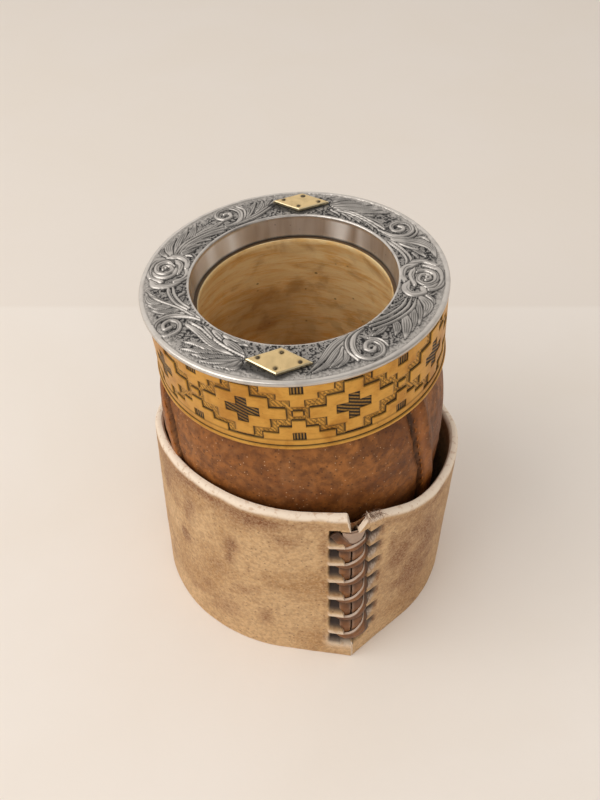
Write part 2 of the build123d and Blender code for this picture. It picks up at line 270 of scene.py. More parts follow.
# The chased pattern of the rim in its own plane, x to the right and y away, in millimetres:
# each line is a half width and the points that one leaf lobe or one stem goes through.
ornament = dict(
    leaves=[
        # back left, a fan above the left rose and a spray on to the back diamond
        (0.8, -38, 11.5, -40.2, 14.5, -38.9, 17.2), (1.3, -36.8, 12, -38.2, 16.5, -36.4, 21.6),
        (1.4, -35.6, 13, -35, 19, -33.2, 27), (0.9, -30.6, 22, -29.2, 25, -29.6, 28.6),
        (1.3, -34, 16, -31.8, 22, -30.9, 29.2), (1.1, -30, 22.5, -26, 25.8, -21.9, 29.2),
        (0.8, -26, 23.5, -22.8, 25.4, -20, 27.9), (0.8, -34.6, 12, -32, 13.4, -29.7, 14.6),
        (1.0, -34, 13.4, -31, 16.2, -28, 16.7), (0.9, -33, 15.5, -29.2, 19, -24.8, 19.2),
        (0.9, -31, 18.6, -27, 21.8, -20.8, 23.5), (0.55, -33.4, 11.3, -31.6, 11.5, -29.8, 10.4),
        (0.9, -9.6, 35.6, -8.8, 38.6, -7, 41), (1.0, -12, 33, -10.4, 36.8, -10.4, 40.2),
        (1.1, -14.6, 30.5, -13.8, 35, -12.3, 39.6), (0.8, -14.9, 31.5, -14.9, 35.4, -17.8, 37.7),
        # back right, a broad leaf from the back diamond and another down to the right rose
        (1.2, 12, 36.2, 15.5, 38.4, 20, 37.2), (1.2, 12, 35.4, 17.5, 36.4, 24.8, 34.7),
        (1.3, 12.4, 34.6, 19, 34.4, 27.8, 31.5), (1.3, 13, 33.6, 20, 31.8, 30, 29.4),
        (1.0, 14.5, 32.3, 20.5, 29.4, 25.6, 27.9), (0.9, 22.6, 27.4, 26.3, 24, 28.2, 20.4),
        (0.7, 11.6, 32.6, 13.8, 30.8, 14.4, 28.6), (0.9, 13.6, 32.2, 16.6, 29.4, 17.7, 25.8),
        (1.0, 15.8, 31, 19, 28, 20.5, 24.2), (0.9, 18.4, 29.2, 21.5, 25.5, 22.5, 22.5),
        (0.8, 21, 27, 23.6, 23, 24.3, 19.8), (1.2, 30.6, 13.2, 35, 11, 39.2, 5.2),
        (1.7, 29.6, 15, 36.5, 13.8, 40.6, 10.6, 41.9, 5), (0.6, 35, 7.8, 36.2, 6.4, 36.6, 4.6),
        (0.5, 36.4, 15.2, 39, 15.6, 41, 12.8), (0.4, 37.6, 16.8, 39.6, 17.4, 40.8, 15.4),
        # front right, lobes below the right rose, a dark row by the mouth and a plume
        (0.6, 36.6, -11.6, 38.8, -14, 38.3, -17), (1.5, 35.2, -12.4, 37.2, -16.4, 35.4, -21.4),
        (1.3, 34.4, -14.2, 34.2, -19.6, 34, -24.5), (1.2, 32.8, -17, 32.6, -22.2, 31.8, -27),
        (1.5, 30.4, -19.6, 30.6, -24.6, 29.7, -30), (1.2, 27.6, -22.2, 28, -25.4, 27.2, -28.4),
        (0.9, 25.4, -23.6, 23.6, -26.2, 20.8, -28.4), (0.9, 31.6, -13, 29.6, -15.4, 26.6, -16.4),
        (0.9, 30.2, -15.8, 27, -18.4, 23.4, -19.4), (0.8, 27.2, -19.8, 24, -22, 20.4, -22.4),
        (1.0, 16.6, -26, 11, -31, 7.4, -37, 3.7, -41.7), (1.2, 14, -30, 11.4, -34.4, 9, -38.4, 4.8, -41.6),
        (1.0, 13.2, -32.4, 12.6, -36, 9.4, -40), (0.8, 13.8, -33.4, 14, -36.8, 11.4, -40),
        (0.8, 17.2, -24.6, 19.6, -23.6, 22.4, -24.2),
        # front left, a leaf below the left rose, a spray along the mouth and a fan by the front diamond
        (1.3, -36.4, -9.8, -40.4, -9.4, -42.6, -5.2), (1.3, -33.6, -11.8, -37.8, -12.2, -41.4, -11),
        (1.2, -31, -13.4, -35.4, -14.4, -40, -13.6), (0.9, -29.2, -15, -33, -15.9, -37.8, -16.1),
        (0.5, -33.2, -8.2, -31.8, -7, -30.6, -6), (0.8, -32.2, -11.4, -31.9, -9.6, -30.8, -8),
        (0.6, -30, -13.2, -29.4, -11.4, -28.4, -10.2), (0.8, -26.6, -16.6, -25, -18, -24.4, -20.6),
        (1.3, -13, -35, -19, -32.6, -24.6, -28.9, -29.8, -27.2),
            (1.2, -13.2, -35, -20, -33.2, -26, -30.9, -30.4, -29.9),
        (1.2, -13.6, -35.2, -20, -34.2, -27.4, -32.1), (1.1, -14, -35.5, -19, -35.6, -25, -35),
        (0.9, -14, -36, -17, -37.3, -20.9, -37.3), (0.8, -13.4, -36.4, -14.6, -38.2, -17.8, -38.4),
        (1.1, -24, -21.6, -22, -24.6, -20.8, -28), (1.1, -21.6, -23.6, -19.4, -26, -17.8, -28.9),
        (1.0, -18.6, -25.8, -15, -28.4, -11.4, -30.6), (1.4, -18.2, -27.8, -15, -31, -12.4, -34),
        (1.2, -29.2, -20.4, -25.4, -24, -21, -29.4, -15, -34)],
    stems=[
        (0.45, -35, 12.2, -32.4, 17.6, -26.4, 22.6, -20.8, 25),
           (0.45, -35.8, 12.4, -33.2, 18.4, -27.2, 23.6, -21.6, 26.2),
        (0.45, -19.6, 26, -13.6, 30.4, -9.4, 35, -5.6, 40.4),
           (0.45, -18.4, 26.4, -12.4, 30.2, -8.2, 34.8, -4.4, 40),
        (0.5, -17.8, 27.6, -15.6, 31, -16, 35, -18.6, 37.3),
        (0.8, -21.4, 25.8, -18, 27.6, -16.8, 30.6, -17.4, 34.4, -20.8, 36.6, -24.2, 34.8, -24.6, 31.6, -22,
         30, -20, 31.4, -20.6, 33.4, -22.2, 33),
        (0.5, 12.6, 33, 19, 30, 24, 25, 27.8, 20.4), (0.45, 12.6, 32.2, 18, 29.6, 22.8, 24.8, 26, 20.6),
        (0.45, 26.6, 18, 31, 15.7, 35.2, 15.7, 37.4, 18.6, 37, 22),
        (0.8, 25.6, 20.4, 29.6, 17.2, 33.4, 16.8, 36, 19.4, 35.4, 22.8, 32.6, 24.2, 30, 22.4, 30.4, 19.8,
         32.6, 19.2, 33.6, 21, 32.2, 22),
        (0.5, 28.6, 15, 32.4, 9.8, 34.4, 5, 33.9, 1), (0.5, 27.6, 14.6, 31.2, 9.6, 33, 5, 32.4, 1),
        (0.4, 31, 13.2, 34, 10.8, 37, 9.2),
        (0.5, 33, -12.8, 31, -17.4, 26.5, -21.6, 20.8, -24.4),
           (0.5, 34.3, -12.8, 32.6, -17.6, 28, -22.2, 21.6, -25.8),
        (0.5, 31.8, -12.6, 29.8, -16.6, 25.6, -20.4, 21.4, -22.8),
        (0.6, 17.6, -25.4, 14.5, -29.5, 14.5, -33.6, 17, -37.3),
        (0.8, 19, -25.2, 16.4, -28.2, 15.8, -32, 17.2, -35.6, 20.4, -36.8, 23.2, -35.2, 23.6, -32.2, 21.6,
         -30.2, 19.4, -31, 19.2, -33.2, 21, -34, 21.6, -32.8),
        (0.35, 19.4, -29.2, 23, -29.6, 25.2, -32.2),
        (0.5, -42.6, -4.4, -38.6, -8.6, -33, -12, -28.6, -15.4, -25.4, -18.4),
        (0.4, -41.2, -6.9, -37.4, -9.8, -32, -13.2, -27.4, -17.2),
        (0.6, -36.3, -2.8, -35.3, -7, -33, -11, -29.6, -14),
           (0.5, -34.9, -2.8, -33.9, -7, -31.6, -10.8, -29, -13.4),
        (0.8, -25.4, -19, -29.4, -17.1, -34.4, -16.4, -38, -19, -37.8, -22.8, -34.4, -24.4, -31.4, -22.6,
         -31.4, -19.6, -33.8, -18.2, -35.8, -19.8, -35.2, -21.8, -33.6, -21.2),
        (0.5, -24.6, -21, -21, -27, -17, -31, -12.6, -34.4), (0.45, -28.8, -19.2, -25, -22.4, -21.8, -26.6)],
    roses=[
        (1.1, -37.4, 10.5, -41.6, 9.6, -43, 5.2, -41.6, 1.2, -38.5, -0.6),
           (1.2, -42, 0.4, -39.6, -2.5, -35.2, -2.5, -32.4, 0),
        (1.0, -32, 6.2, -31, 3, -32, 0.2, -34.6, -1), (1.1, -38, 10.8, -34.6, 11.2, -31.8, 8.6, -31.7, 5.2),
        (0.9, -35.4, 9.4, -33.5, 6.8, -33.9, 2.8), (0.9, -41, 6.6, -40.6, 3, -38, 1.4, -35.4, 2.2, -34.8, 5),
        (0.85, -35.3, 6.6, -37.6, 8.9, -40.4, 7.6, -40.4, 4.6, -38, 3.2, -36, 4.6, -36.6, 6.6, -38.4, 6.6,
         -38.6, 5.4),
        (1.1, 37.6, 1.4, 41.8, 0, 42.6, -4.4, 40.6, -8.6, 36.4, -9.6),
           (1.0, 33.6, 2.6, 37.6, 3.7, 41.4, 1.4),
        (1.1, 36, 2, 32.4, 0.8, 31.2, -2.6, 32, -6),
           (1.2, 33, -5.6, 31.6, -8.8, 33.2, -11.4, 36.4, -10.8, 36.4, -8.4),
        (0.9, 35, 0.2, 33.7, -3, 34.4, -7.4), (0.8, 36.4, -8, 39.2, -8.2, 41, -5.4),
        (0.85, 35.4, -1.6, 38, -0.8, 40.6, -2.6, 40.2, -5.8, 37.6, -7.2, 35.5, -5.4, 36.3, -3, 38.4, -2.8,
         38.9, -4.6, 37.7, -5.2)])


# Where the cut lines run on a leaf, as shares of its half width, by the least half width for them.
cutLines = ((1.15, (-0.5, 0.0, 0.5)), (0.75, (-0.35, 0.35)), (0.55, (0.0,)), (0.0, ()))


def drawOrnament(relief):
    for lines, taper, top in (("leaves", leafTaper, 0.3), ("stems", bandTaper, 0.36),
                              ("roses", bandTaper, 0.42)):
        for width, *places in ornament[lines]:
            points = np.array(places, float).reshape(-1, 2)
            line = smoothThrough(points, 5 * len(points) + 4)
            if lines == "leaves":
                cuts = next(c for least, c in cutLines if width > least)
            else:
                cuts = (0.3,) if width > 0.55 else ()
            stroke(relief, line, width, taper, top=top, cuts=cuts)
    for x, y in ((-38, 5.9), (37.9, -4)):
        bud = np.array([[x - 0.2, y], [x + 0.2, y]])
        stroke(relief, bud, 0.75, bandTaper, top=0.55)


# ---- materials
# A colour given as it looks on a screen, 0 to 255, turned into light values.
def tone(r, g, b):
    v = np.array([r, g, b]) / 255.0
    return tuple(np.where(v <= 0.04045, v / 12.92, ((v + 0.055) / 1.055) ** 2.4)) + (1.0,)


# Gives a node's inputs their values, or links them where the value comes from another node.
def feed(tree, made, inputs):
    for key, value in inputs.items():
        if isinstance(value, bpy.types.NodeSocket):
            tree.links.new(value, made.inputs[key])
        else:
            made.inputs[key].default_value = value
    return made


def node(tree, kind, inputs=None, **settings):
    made = tree.nodes.new(kind)
    for key, value in settings.items():
        setattr(made, key, value)
    return feed(tree, made, inputs or {})


# A shader node group: its inputs by name and default (none for a vector), and its outputs by name.
def newGroup(name, inputs, *outputs):
    tree = bpy.data.node_groups.new(name, "ShaderNodeTree")
    for label, default in inputs.items():
        kind = "Vector" if default is None else "Color" if isinstance(default, tuple) else "Float"
        socket = tree.interface.new_socket(label, in_out="INPUT", socket_type="NodeSocket" + kind)
        if default is not None:
            socket.default_value = default
    for label in outputs:
        kind = "Color" if label == "Color" else "Float"
        tree.interface.new_socket(label, in_out="OUTPUT", socket_type="NodeSocket" + kind)
    return tree, tree.nodes.new("NodeGroupInput").outputs, tree.nodes.new("NodeGroupOutput")


def useGroup(tree, group, **inputs):
    return feed(tree, node(tree, "ShaderNodeGroup", node_tree=group), inputs).outputs


def math2(tree, operation, a, b=0.5, clamp=False):
    return node(tree, "ShaderNodeMath", {0: a, 1: b}, operation=operation, use_clamp=clamp).outputs[0]


def times(tree, a, b):
    return math2(tree, "MULTIPLY", a, b)


# The largest of several masks.
def most(tree, mask, *others):
    for other in others:
        mask = math2(tree, "MAXIMUM", mask, other, clamp=True)
    return mask


def mixColour(tree, factor, a, b):
    return node(tree, "ShaderNodeMix", {0: factor, 6: a, 7: b}, data_type="RGBA").outputs[2]


def mixValue(tree, factor, a, b):
    return node(tree, "ShaderNodeMix", {0: factor, 2: a, 3: b}, data_type="FLOAT").outputs[0]


# A value carried from one range to another, by a smooth step or in a straight line.
def ramp(tree, value, low, high, start=0.0, end=1.0, kind="SMOOTHSTEP"):
    inputs = {0: value, 1: low, 2: high, 3: start, 4: end}
    return node(tree, "ShaderNodeMapRange", inputs, interpolation_type=kind).outputs[0]


# Soft patches: stretched noise pushed to a mask between two levels.
def makePatches():
    tree, into, out = newGroup("softPatches", dict(Vector=None, Scale=60.0, Low=0.45, High=0.62), "Mask")
    cloud = node(tree, "ShaderNodeTexNoise", {"Vector": into["Vector"], "Scale": into["Scale"],
                                              "Detail": 4.0, "Roughness": 0.55, "Distortion": 0.4})
    feed(tree, out, {"Mask": ramp(tree, cloud.outputs[0], into["Low"], into["High"])})
    return tree


# Small round pits or specks scattered over a surface.
def makeSpecks():
    tree, into, out = newGroup("scatteredSpecks", dict(Vector=None, Scale=900.0, Size=0.25, Share=0.5),
                               "Mask")
    cells = node(tree, "ShaderNodeTexVoronoi", {"Vector": into["Vector"], "Scale": into["Scale"],
                                                "Randomness": 1.0})
    dot = ramp(tree, cells.outputs["Distance"], into["Size"], times(tree, into["Size"], 0.4))
    pick = node(tree, "ShaderNodeSeparateColor", {0: cells.outputs["Color"]})
    chosen = math2(tree, "LESS_THAN", pick.outputs[0], into["Share"])
    feed(tree, out, {"Mask": times(tree, dot, chosen)})
    return tree


# Fine grain: two sizes of noise mixed into one height.
def makeGrain():
    tree, into, out = newGroup("fineGrain", dict(Vector=None, Scale=900.0, Coarse=0.5), "Height")
    fine = node(tree, "ShaderNodeTexNoise", {"Vector": into["Vector"], "Scale": into["Scale"],
                                             "Detail": 3.0, "Roughness": 0.65})
    broad = node(tree, "ShaderNodeTexNoise", {"Vector": into["Vector"], "Detail": 2.0,
                                              "Scale": times(tree, into["Scale"], 0.27)})
    feed(tree, out, {"Height": mixValue(tree, into["Coarse"], fine.outputs[0], broad.outputs[0])})
    return tree


# Metal with dark tarnish: colour, roughness and metalness from one tarnish mask.
def makeTarnish():
    tree, into, out = newGroup("tarnishedMetal", dict(Bright=(0.8, 0.8, 0.8, 1), Dark=(0.03, 0.03, 0.03, 1),
                               Tarnish=0.0, Polished=0.25, Dull=0.6), "Color", "Roughness", "Metallic")
    feed(tree, out, {"Color": mixColour(tree, into["Tarnish"], into["Bright"], into["Dark"]),
                     "Roughness": mixValue(tree, into["Tarnish"], into["Polished"], into["Dull"]),
                     "Metallic": ramp(tree, into["Tarnish"], 0.3, 1.0, 1.0, 0.35, kind="LINEAR")})
    return tree


softPatches, scatteredSpecks = makePatches(), makeSpecks()
fineGrain, tarnishedMetal = makeGrain(), makeTarnish()


def patches(tree, place, scale, low, high):
    return useGroup(tree, softPatches, Vector=place, Scale=scale, Low=low, High=high)[0]


def specks(tree, place, scale, size, share):
    return useGroup(tree, scatteredSpecks, Vector=place, Scale=scale, Size=size, Share=share)[0]


def grainOf(tree, place, scale, coarse):
    return useGroup(tree, fineGrain, Vector=place, Scale=scale, Coarse=coarse)[0]


def newMaterial(name):
    material = bpy.data.materials.new(name)
    material.use_nodes = True
    tree = material.node_tree
    shader = next(n for n in tree.nodes if n.type == "BSDF_PRINCIPLED")
    return material, tree, shader, tree.nodes.new("ShaderNodeTexCoord").outputs["Object"]


def attribute(tree, name):
    return node(tree, "ShaderNodeAttribute", attribute_name=name).outputs["Fac"]


def stretched(tree, place, scale, turn=(0.0, 0.0, 0.0)):
    return node(tree, "ShaderNodeMapping", {"Vector": place, "Scale": scale, "Rotation": turn}).outputs[0]


def bumpInto(tree, shader, height, strength, distance):
    made = node(tree, "ShaderNodeBump", {"Height": height, "Strength": strength, "Distance": distance})
    feed(tree, shader, {"Normal": made.outputs[0]})


# Colours laid over a base one after another, each by its mask and how strongly it counts.
def layered(tree, base, *layers):
    for mask, strength, colour in layers:
        base = mixColour(tree, times(tree, mask, strength), base, tone(*colour))
    return base


# Makes a material a metal that is bright where its tarnish mask is 0 and dark where it is 1.
def wear(tree, shader, bright, dark, tarnish, polished, dull):
    metal = useGroup(tree, tarnishedMetal, Bright=bright, Dark=tone(*dark), Tarnish=tarnish,
                     Polished=polished, Dull=dull)
    feed(tree, shader, {"Base Color": metal["Color"], "Roughness": metal["Roughness"],
                        "Metallic": metal["Metallic"]})
    return metal


# Old silver: burnished on the high places, black in the cut ones, pitted where the ground is matted.
# The collar inside the mouth is plainer, wiped warm in places, with painted highlights in others and a paler
# painted highlight along the lip.
def makeSilver():
    material, tree, shader, place = newMaterial("oldSilver")
    look = dict(bright=(208, 202, 195), dark=(26, 24, 23), pitScale=1700.0, pitSize=0.55, pitShare=0.72,
                collar=(200, 192, 182), collarWarm=(164, 146, 124), collarMetal=0.7,
                paintedHighlights=(250, 247, 242), highlightMetal=0.05)
    cut, highlightMask, inCollar = [attribute(tree, name) for name in ("dark", "highlightMask", "collar")]
    pits = specks(tree, place, look["pitScale"], look["pitSize"], look["pitShare"])
    stipple = times(tree, pits, attribute(tree, "ground"))
    haze = times(tree, patches(tree, place, 240.0, 0.4, 0.75), 0.3)
    metal = wear(tree, shader, tone(*look["bright"]), look["dark"], most(tree, cut, stipple, haze), 0.3, 0.6)
    wiped = patches(tree, stretched(tree, place, (1.0, 1.0, 0.12)), 260.0, 0.35, 0.75)
    # painted highlights on the collar come out near white and barely metallic
    worn = layered(tree, tone(*look["collar"]), (wiped, 0.75, look["collarWarm"]),
                   (specks(tree, place, 380.0, 0.11, 0.35), 0.7, look["dark"]),
                   (highlightMask, 1.0, look["paintedHighlights"]), (cut, 1.0, look["dark"]))
    collarMetal = ramp(tree, highlightMask, 0.0, 1.0, look["collarMetal"], look["highlightMetal"], kind="LINEAR")
    feed(tree, shader, {"Base Color": mixColour(tree, inCollar, metal["Color"], worn),
                        "Metallic": mixValue(tree, inCollar, metal["Metallic"], collarMetal)})
    dents = grainOf(tree, stretched(tree, place, (1.0, 1.0, 0.35)), 330.0, 0.6)
    ruffled = math2(tree, "SUBTRACT", times(tree, grainOf(tree, place, 1500.0, 0.6), 0.25), stipple)
    height = math2(tree, "ADD", ruffled, times(tree, times(tree, dents, inCollar), 1.6))
    bumpInto(tree, shader, height, 0.5, 0.0002)
    return material


# Fine engraver's lines on the band: upright bars, a crossed weave and a scratched ground, worked
# out from the way round the cup and the height along its axis.
def makeHatching():
    tree, into, out = newGroup("engravedHatching", dict(Vector=None), "Weave", "Bars", "Scratch")
    origin = (cupO + cup["bandShift"] * cupX) * mm
    local = node(tree, "ShaderNodeMapping", {"Vector": into["Vector"], "Location": tuple(origin),
                                             "Rotation": (0.0, -lean, 0.0)}, vector_type="TEXTURE")
    parts = node(tree, "ShaderNodeSeparateXYZ", {0: local.outputs[0]}).outputs
    along = times(tree, math2(tree, "ARCTAN2", parts["Y"], parts["X"]), cup["bandRadius"] * mm)

    def lines(slant, rise, pitch, low, high):
        turned = math2(tree, "ADD", times(tree, along, slant), times(tree, parts["Z"], rise))
        wave = math2(tree, "SINE", times(tree, turned, 2.0 * math.pi / (pitch * mm)), 0.0)
        return ramp(tree, wave, low, high)

    weave = most(tree, lines(0.4, 0.92, 1.15, -0.5, 0.1), times(tree, lines(0.8, -0.6, 1.0, -0.2, 0.5), 0.6))
    scratch = most(tree, specks(tree, into["Vector"], 1700.0, 0.55, 0.62),
                   times(tree, lines(0.8, 0.6, 1.0, -0.2, 0.5), 0.64))
    feed(tree, out, {"Weave": weave, "Bars": lines(1.0, 0.0, 0.86, -0.35, 0.15), "Scratch": scratch})
    return tree


# Brass of the band: warm gold, dark in the engraved lines, finely stippled in the sunk ground.
def makeBandBrass():
    material, tree, shader, place = newMaterial("bandBrass")
    look = dict(bright=(220, 168, 84), worn=(190, 134, 60), dark=(26, 18, 10))
    lines = useGroup(tree, makeHatching(), Vector=place)
    weave, bars, ground = [times(tree, lines[line], attribute(tree, where)) for line, where in
                           (("Weave", "weave"), ("Bars", "bars"), ("Scratch", "hatch"))]
    cuts = most(tree, weave, bars, attribute(tree, "dark"))
    fine = patches(tree, stretched(tree, place, (1.0, 1.0, 2.5)), 600.0, 0.45, 0.7)
    haze = math2(tree, "ADD", times(tree, fine, 0.1),
                 times(tree, specks(tree, place, 420.0, 0.1, 0.4), 0.55))
    tarnish = most(tree, cuts, times(tree, ground, 0.72), haze)
    base = mixColour(tree, patches(tree, place, 120.0, 0.4, 0.75), tone(*look["bright"]),
                     tone(*look["worn"]))
    wear(tree, shader, base, look["dark"], tarnish, 0.42, 0.6)
    grain = times(tree, grainOf(tree, place, 900.0, 0.6), 0.5)
    bumpInto(tree, shader, math2(tree, "SUBTRACT", grain, most(tree, ground, cuts)), 0.5, 0.00025)
    return material


# Paler polished brass of the diamond plates, with a painted highlight along their bevelled edges.
def makePlateBrass():
    material, tree, shader, place = newMaterial("plateBrass")
    tarnish = most(tree, times(tree, patches(tree, place, 260.0, 0.4, 0.75), 0.2),
                   times(tree, specks(tree, place, 700.0, 0.12, 0.3), 0.5), attribute(tree, "dark"))
    base = mixColour(tree, attribute(tree, "bright"), tone(226, 198, 146), tone(250, 232, 190))
    wear(tree, shader, base, (70, 52, 28), tarnish, 0.3, 0.5)
    bumpInto(tree, shader, grainOf(tree, place, 700.0, 0.6), 0.3, 0.0002)
    return material


def makeRivetBrass():
    material, tree, shader, place = newMaterial("rivetBrass")
    cloud = times(tree, patches(tree, place, 1500.0, 0.3, 0.6), 0.35)
    wear(tree, shader, tone(196, 170, 120), (40, 32, 22), math2(tree, "ADD", cloud, 0.6, clamp=True), 0.3,
         0.5)
    return material


# Calabash inside: ochre wood with level streaks near the lip, brown mottling, dark dots and painted shade
# deep in the bowl.
def makeGourdWood():
    material, tree, shader, place = newMaterial("calabash")
    paintedDeepShade = attribute(tree, "paintedDeepShade")
    streaks = patches(tree, stretched(tree, place, (1.0, 1.0, 4.5)), 75.0, 0.35, 0.7)
    fine = patches(tree, stretched(tree, place, (1.0, 1.0, 7.0)), 260.0, 0.4, 0.75)
    colour = layered(tree, mixColour(tree, streaks, tone(252, 224, 166), tone(236, 188, 112)),
                     (fine, 0.5, (255, 238, 196)),
                     (patches(tree, place, 95.0, 0.5, 0.72), 0.5, (166, 116, 58)),
                     (attribute(tree, "murk"), 0.38, (140, 100, 56)),
                     (paintedDeepShade, 0.75, (132, 80, 20)),
                     (specks(tree, place, 300.0, 0.22, 0.22), 0.7, (84, 52, 20)),
                     (times(tree, paintedDeepShade, patches(tree, place, 170.0, 0.5, 0.6)), 0.85, (70, 42, 14)),
                     (attribute(tree, "dark"), 1.0, (66, 40, 16)))
    feed(tree, shader, {"Base Color": colour, "Roughness": 0.5})
    bumpInto(tree, shader, grainOf(tree, stretched(tree, place, (1.0, 1.0, 3.0)), 500.0, 0.5), 0.5, 0.0004)
    return material


# Brown cover leather: clouded colour, fine grain, pale dust specks and creases, with painted shade lower
# down and in the seam gutters and creases.
def makeCoverLeather():
    material, tree, shader, place = newMaterial("coverLeather")
    scuffs = patches(tree, stretched(tree, place, (1.0, 1.0, 0.5)), 150.0, 0.55, 0.8)
    cloud = patches(tree, place, 55.0, 0.35, 0.7)
    colour = layered(tree, mixColour(tree, cloud, tone(160, 100, 46), tone(124, 70, 26)),
                     (patches(tree, place, 170.0, 0.4, 0.66), 0.5, (94, 52, 20)),
                     (patches(tree, place, 420.0, 0.35, 0.7), 0.6, (80, 44, 18)),
                     (scuffs, 0.45, (166, 114, 68)),
                     (specks(tree, place, 760.0, 0.34, 0.5), 0.6, (64, 36, 16)),
                     (specks(tree, place, 1000.0, 0.24, 0.24), 0.75, (208, 168, 128)),
                     (attribute(tree, "shade"), 0.5, (96, 48, 22)),
                     (attribute(tree, "flap"), 0.45, (168, 96, 30)),
                     (attribute(tree, "dark"), 1.0, (40, 24, 14)))
    feed(tree, shader, {"Base Color": colour, "Roughness": 0.55, "Specular IOR Level": 0.3})
    bumpInto(tree, shader, grainOf(tree, place, 1000.0, 0.45), 0.6, 0.0005)
    return material


# Rawhide of the sleeve: tan with soft brown blotches, fine freckles and pale raw cut edges, with painted
# shade in the slots, the scoops and under the lacing, and painted shadows beside them carried with the
# stains.
def makeRawhide():
    material, tree, shader, place = newMaterial("rawhide")
    cracks = times(tree, patches(tree, place, 520.0, 0.52, 0.7), 0.55)
    pitting = most(tree, cracks, times(tree, specks(tree, place, 650.0, 0.2, 0.3), 0.8))
    pale = mixColour(tree, pitting, tone(238, 220, 198), tone(190, 150, 112))
    strands = patches(tree, stretched(tree, place, (1.0, 1.0, 0.35), (0.0, 0.5, 0.3)), 1500.0, 0.4, 0.65)
    hairy = mixColour(tree, strands, tone(186, 166, 148), tone(142, 116, 94))
    broad = patches(tree, place, 38.0, 0.42, 0.68)
    colour = layered(tree, mixColour(tree, broad, tone(206, 166, 118), tone(176, 131, 80)),
                     (patches(tree, place, 95.0, 0.55, 0.75), 0.75, (142, 92, 42)),
                     (attribute(tree, "stainAndShade"), 1.0, (124, 70, 24)),
                     (patches(tree, place, 1300.0, 0.4, 0.6), 0.3, (228, 198, 154)),
                     (patches(tree, place, 700.0, 0.35, 0.7), 0.4, (124, 84, 46)),
                     (specks(tree, place, 700.0, 0.3, 0.35), 0.6, (100, 64, 34)))
    colour = mixColour(tree, attribute(tree, "raw"), colour, pale)
    colour = mixColour(tree, attribute(tree, "fur"), colour, hairy)
    colour = layered(tree, colour, (attribute(tree, "dark"), 1.0, (52, 34, 22)))
    feed(tree, shader, {"Base Color": colour, "Roughness": 0.62})
    bumpInto(tree, shader, grainOf(tree, place, 850.0, 0.5), 0.55, 0.0005)
    return material


# Lace leather: brown and a little shiny on top, with pale cut edges and painted shade along the straps'
# lower edges and ends and at the tops of the lower straps.
def makeLaceLeather():
    material, tree, shader, place = newMaterial("laceLeather")
    cloud = patches(tree, place, 180.0, 0.35, 0.7)
    colour = layered(tree, mixColour(tree, cloud, tone(140, 89, 46), tone(104, 61, 28)),
                     (patches(tree, place, 900.0, 0.4, 0.7), 0.4, (78, 48, 28)),
                     (attribute(tree, "raw"), 1.0, (206, 186, 168)),
                     (attribute(tree, "dark"), 1.0, (46, 30, 20)))
    feed(tree, shader, {"Base Color": colour, "Roughness": 0.42, "Specular IOR Level": 0.35})
    bumpInto(tree, shader, grainOf(tree, place, 1200.0, 0.4), 0.4, 0.0003)
    return material


silver, bandBrass, plateBrass, rivetBrass = makeSilver(), makeBandBrass(), makePlateBrass(), makeRivetBrass()
calabash, coverLeather = makeGourdWood(), makeCoverLeather()
rawhide, laceLeather = makeRawhide(), makeLaceLeather()
print("materials made")


# The brass diamonds on the rim; front and back give degrees round and degrees turned.
plates = dict(length=17.8, width=9.8, thick=0.9, polar=37.3, gap=0.05, bevel=0.35, count=44,
              front=(-95.5, -2.0), back=(86.6, -2.7),
              rivets=((-5.6, 0.7), (0.4, 3.0), (5.7, -0.2), (-0.4, -2.9)),
              headRadius=0.55, headHeight=0.3)

# ---- silver rim
# Profile of the rim, all the way round its section: up the inside of the collar, over the mouth's
# rounded edge, out along the chased ring, round the lip and back underneath. Each painted highlight on
# the collar has its degrees round, its width and its strength.
rim = dict(columns=1240, ringRows=62, mouthRound=0.6, lipRound=0.62, wall=0.9, plate=1.1, border=1.35,
           mouthBorder=0.4, wobble=0.05,
           paintedHighlights=((132, 6, 1.0), (145, 6, 0.9), (160, 13, 0.6), (62, 5, 0.9), (46, 5, 0.5), (95, 25, 0.18)))
mouth, mouthTop, outer = cup["mouthRadius"], cup["mouthRise"], cup["rimRadius"]
slope = mouthTop / (outer - mouth)
inside = np.array([(mouth - 0.3, -cup["collarDepth"]), (mouth - 0.26, -6.4), (mouth - 0.18, -4.4),
                   (mouth - 0.1, -2.4), (mouth - 0.04, -1.0), (mouth - 0.02, -0.2)])
overMouth = np.array([(mouth + rim["mouthRound"] * (1 - math.cos(a)),
                       mouthTop - rim["mouthRound"] * (1 - math.sin(a)))
                      for a in np.radians((20, 50))])
ringR = np.linspace(mouth + rim["mouthRound"], outer - rim["lipRound"], rim["ringRows"])
ring = np.stack([ringR, mouthTop - slope * (ringR - mouth)], 1)
lipA = np.radians((55, 15, -20, -60))
lip = np.stack([outer - rim["lipRound"] * (1 - np.cos(lipA)),
                np.array([-0.6, -0.6, -0.9, -0.9]) + rim["lipRound"] * np.sin(lipA)], 1)
under = np.array([(cup["bandRadius"] - 1.6, -cup["lipHeight"]), (cup["bandRadius"] - 1.7, -rim["plate"]),
                  (mouth + rim["wall"] + 0.2, mouthTop - rim["plate"]), (mouth + rim["wall"], -2.4),
                  (mouth + rim["wall"] - 0.3, -cup["collarDepth"])])
profile = np.concatenate([inside, overMouth, ring, lip, under])
ringStart = len(inside) + len(overMouth)
theta = np.linspace(0.0, 2.0 * math.pi, rim["columns"], endpoint=False)
r, z = spun(profile[:, 0], rim["columns"]), spun(profile[:, 1], rim["columns"])
a = np.tile(theta, (len(profile), 1))
flat = roundAxis(r, a, z)[..., :2]
onRing = slice(ringStart, ringStart + rim["ringRows"])
relief = dict(xy=flat[onRing].reshape(-1, 2))
ringShape = flat[onRing].shape[:2]
rr = r[onRing].ravel()
inBorder = ease(outer - rim["border"] - 0.25, outer - rim["border"] + 0.05, rr)
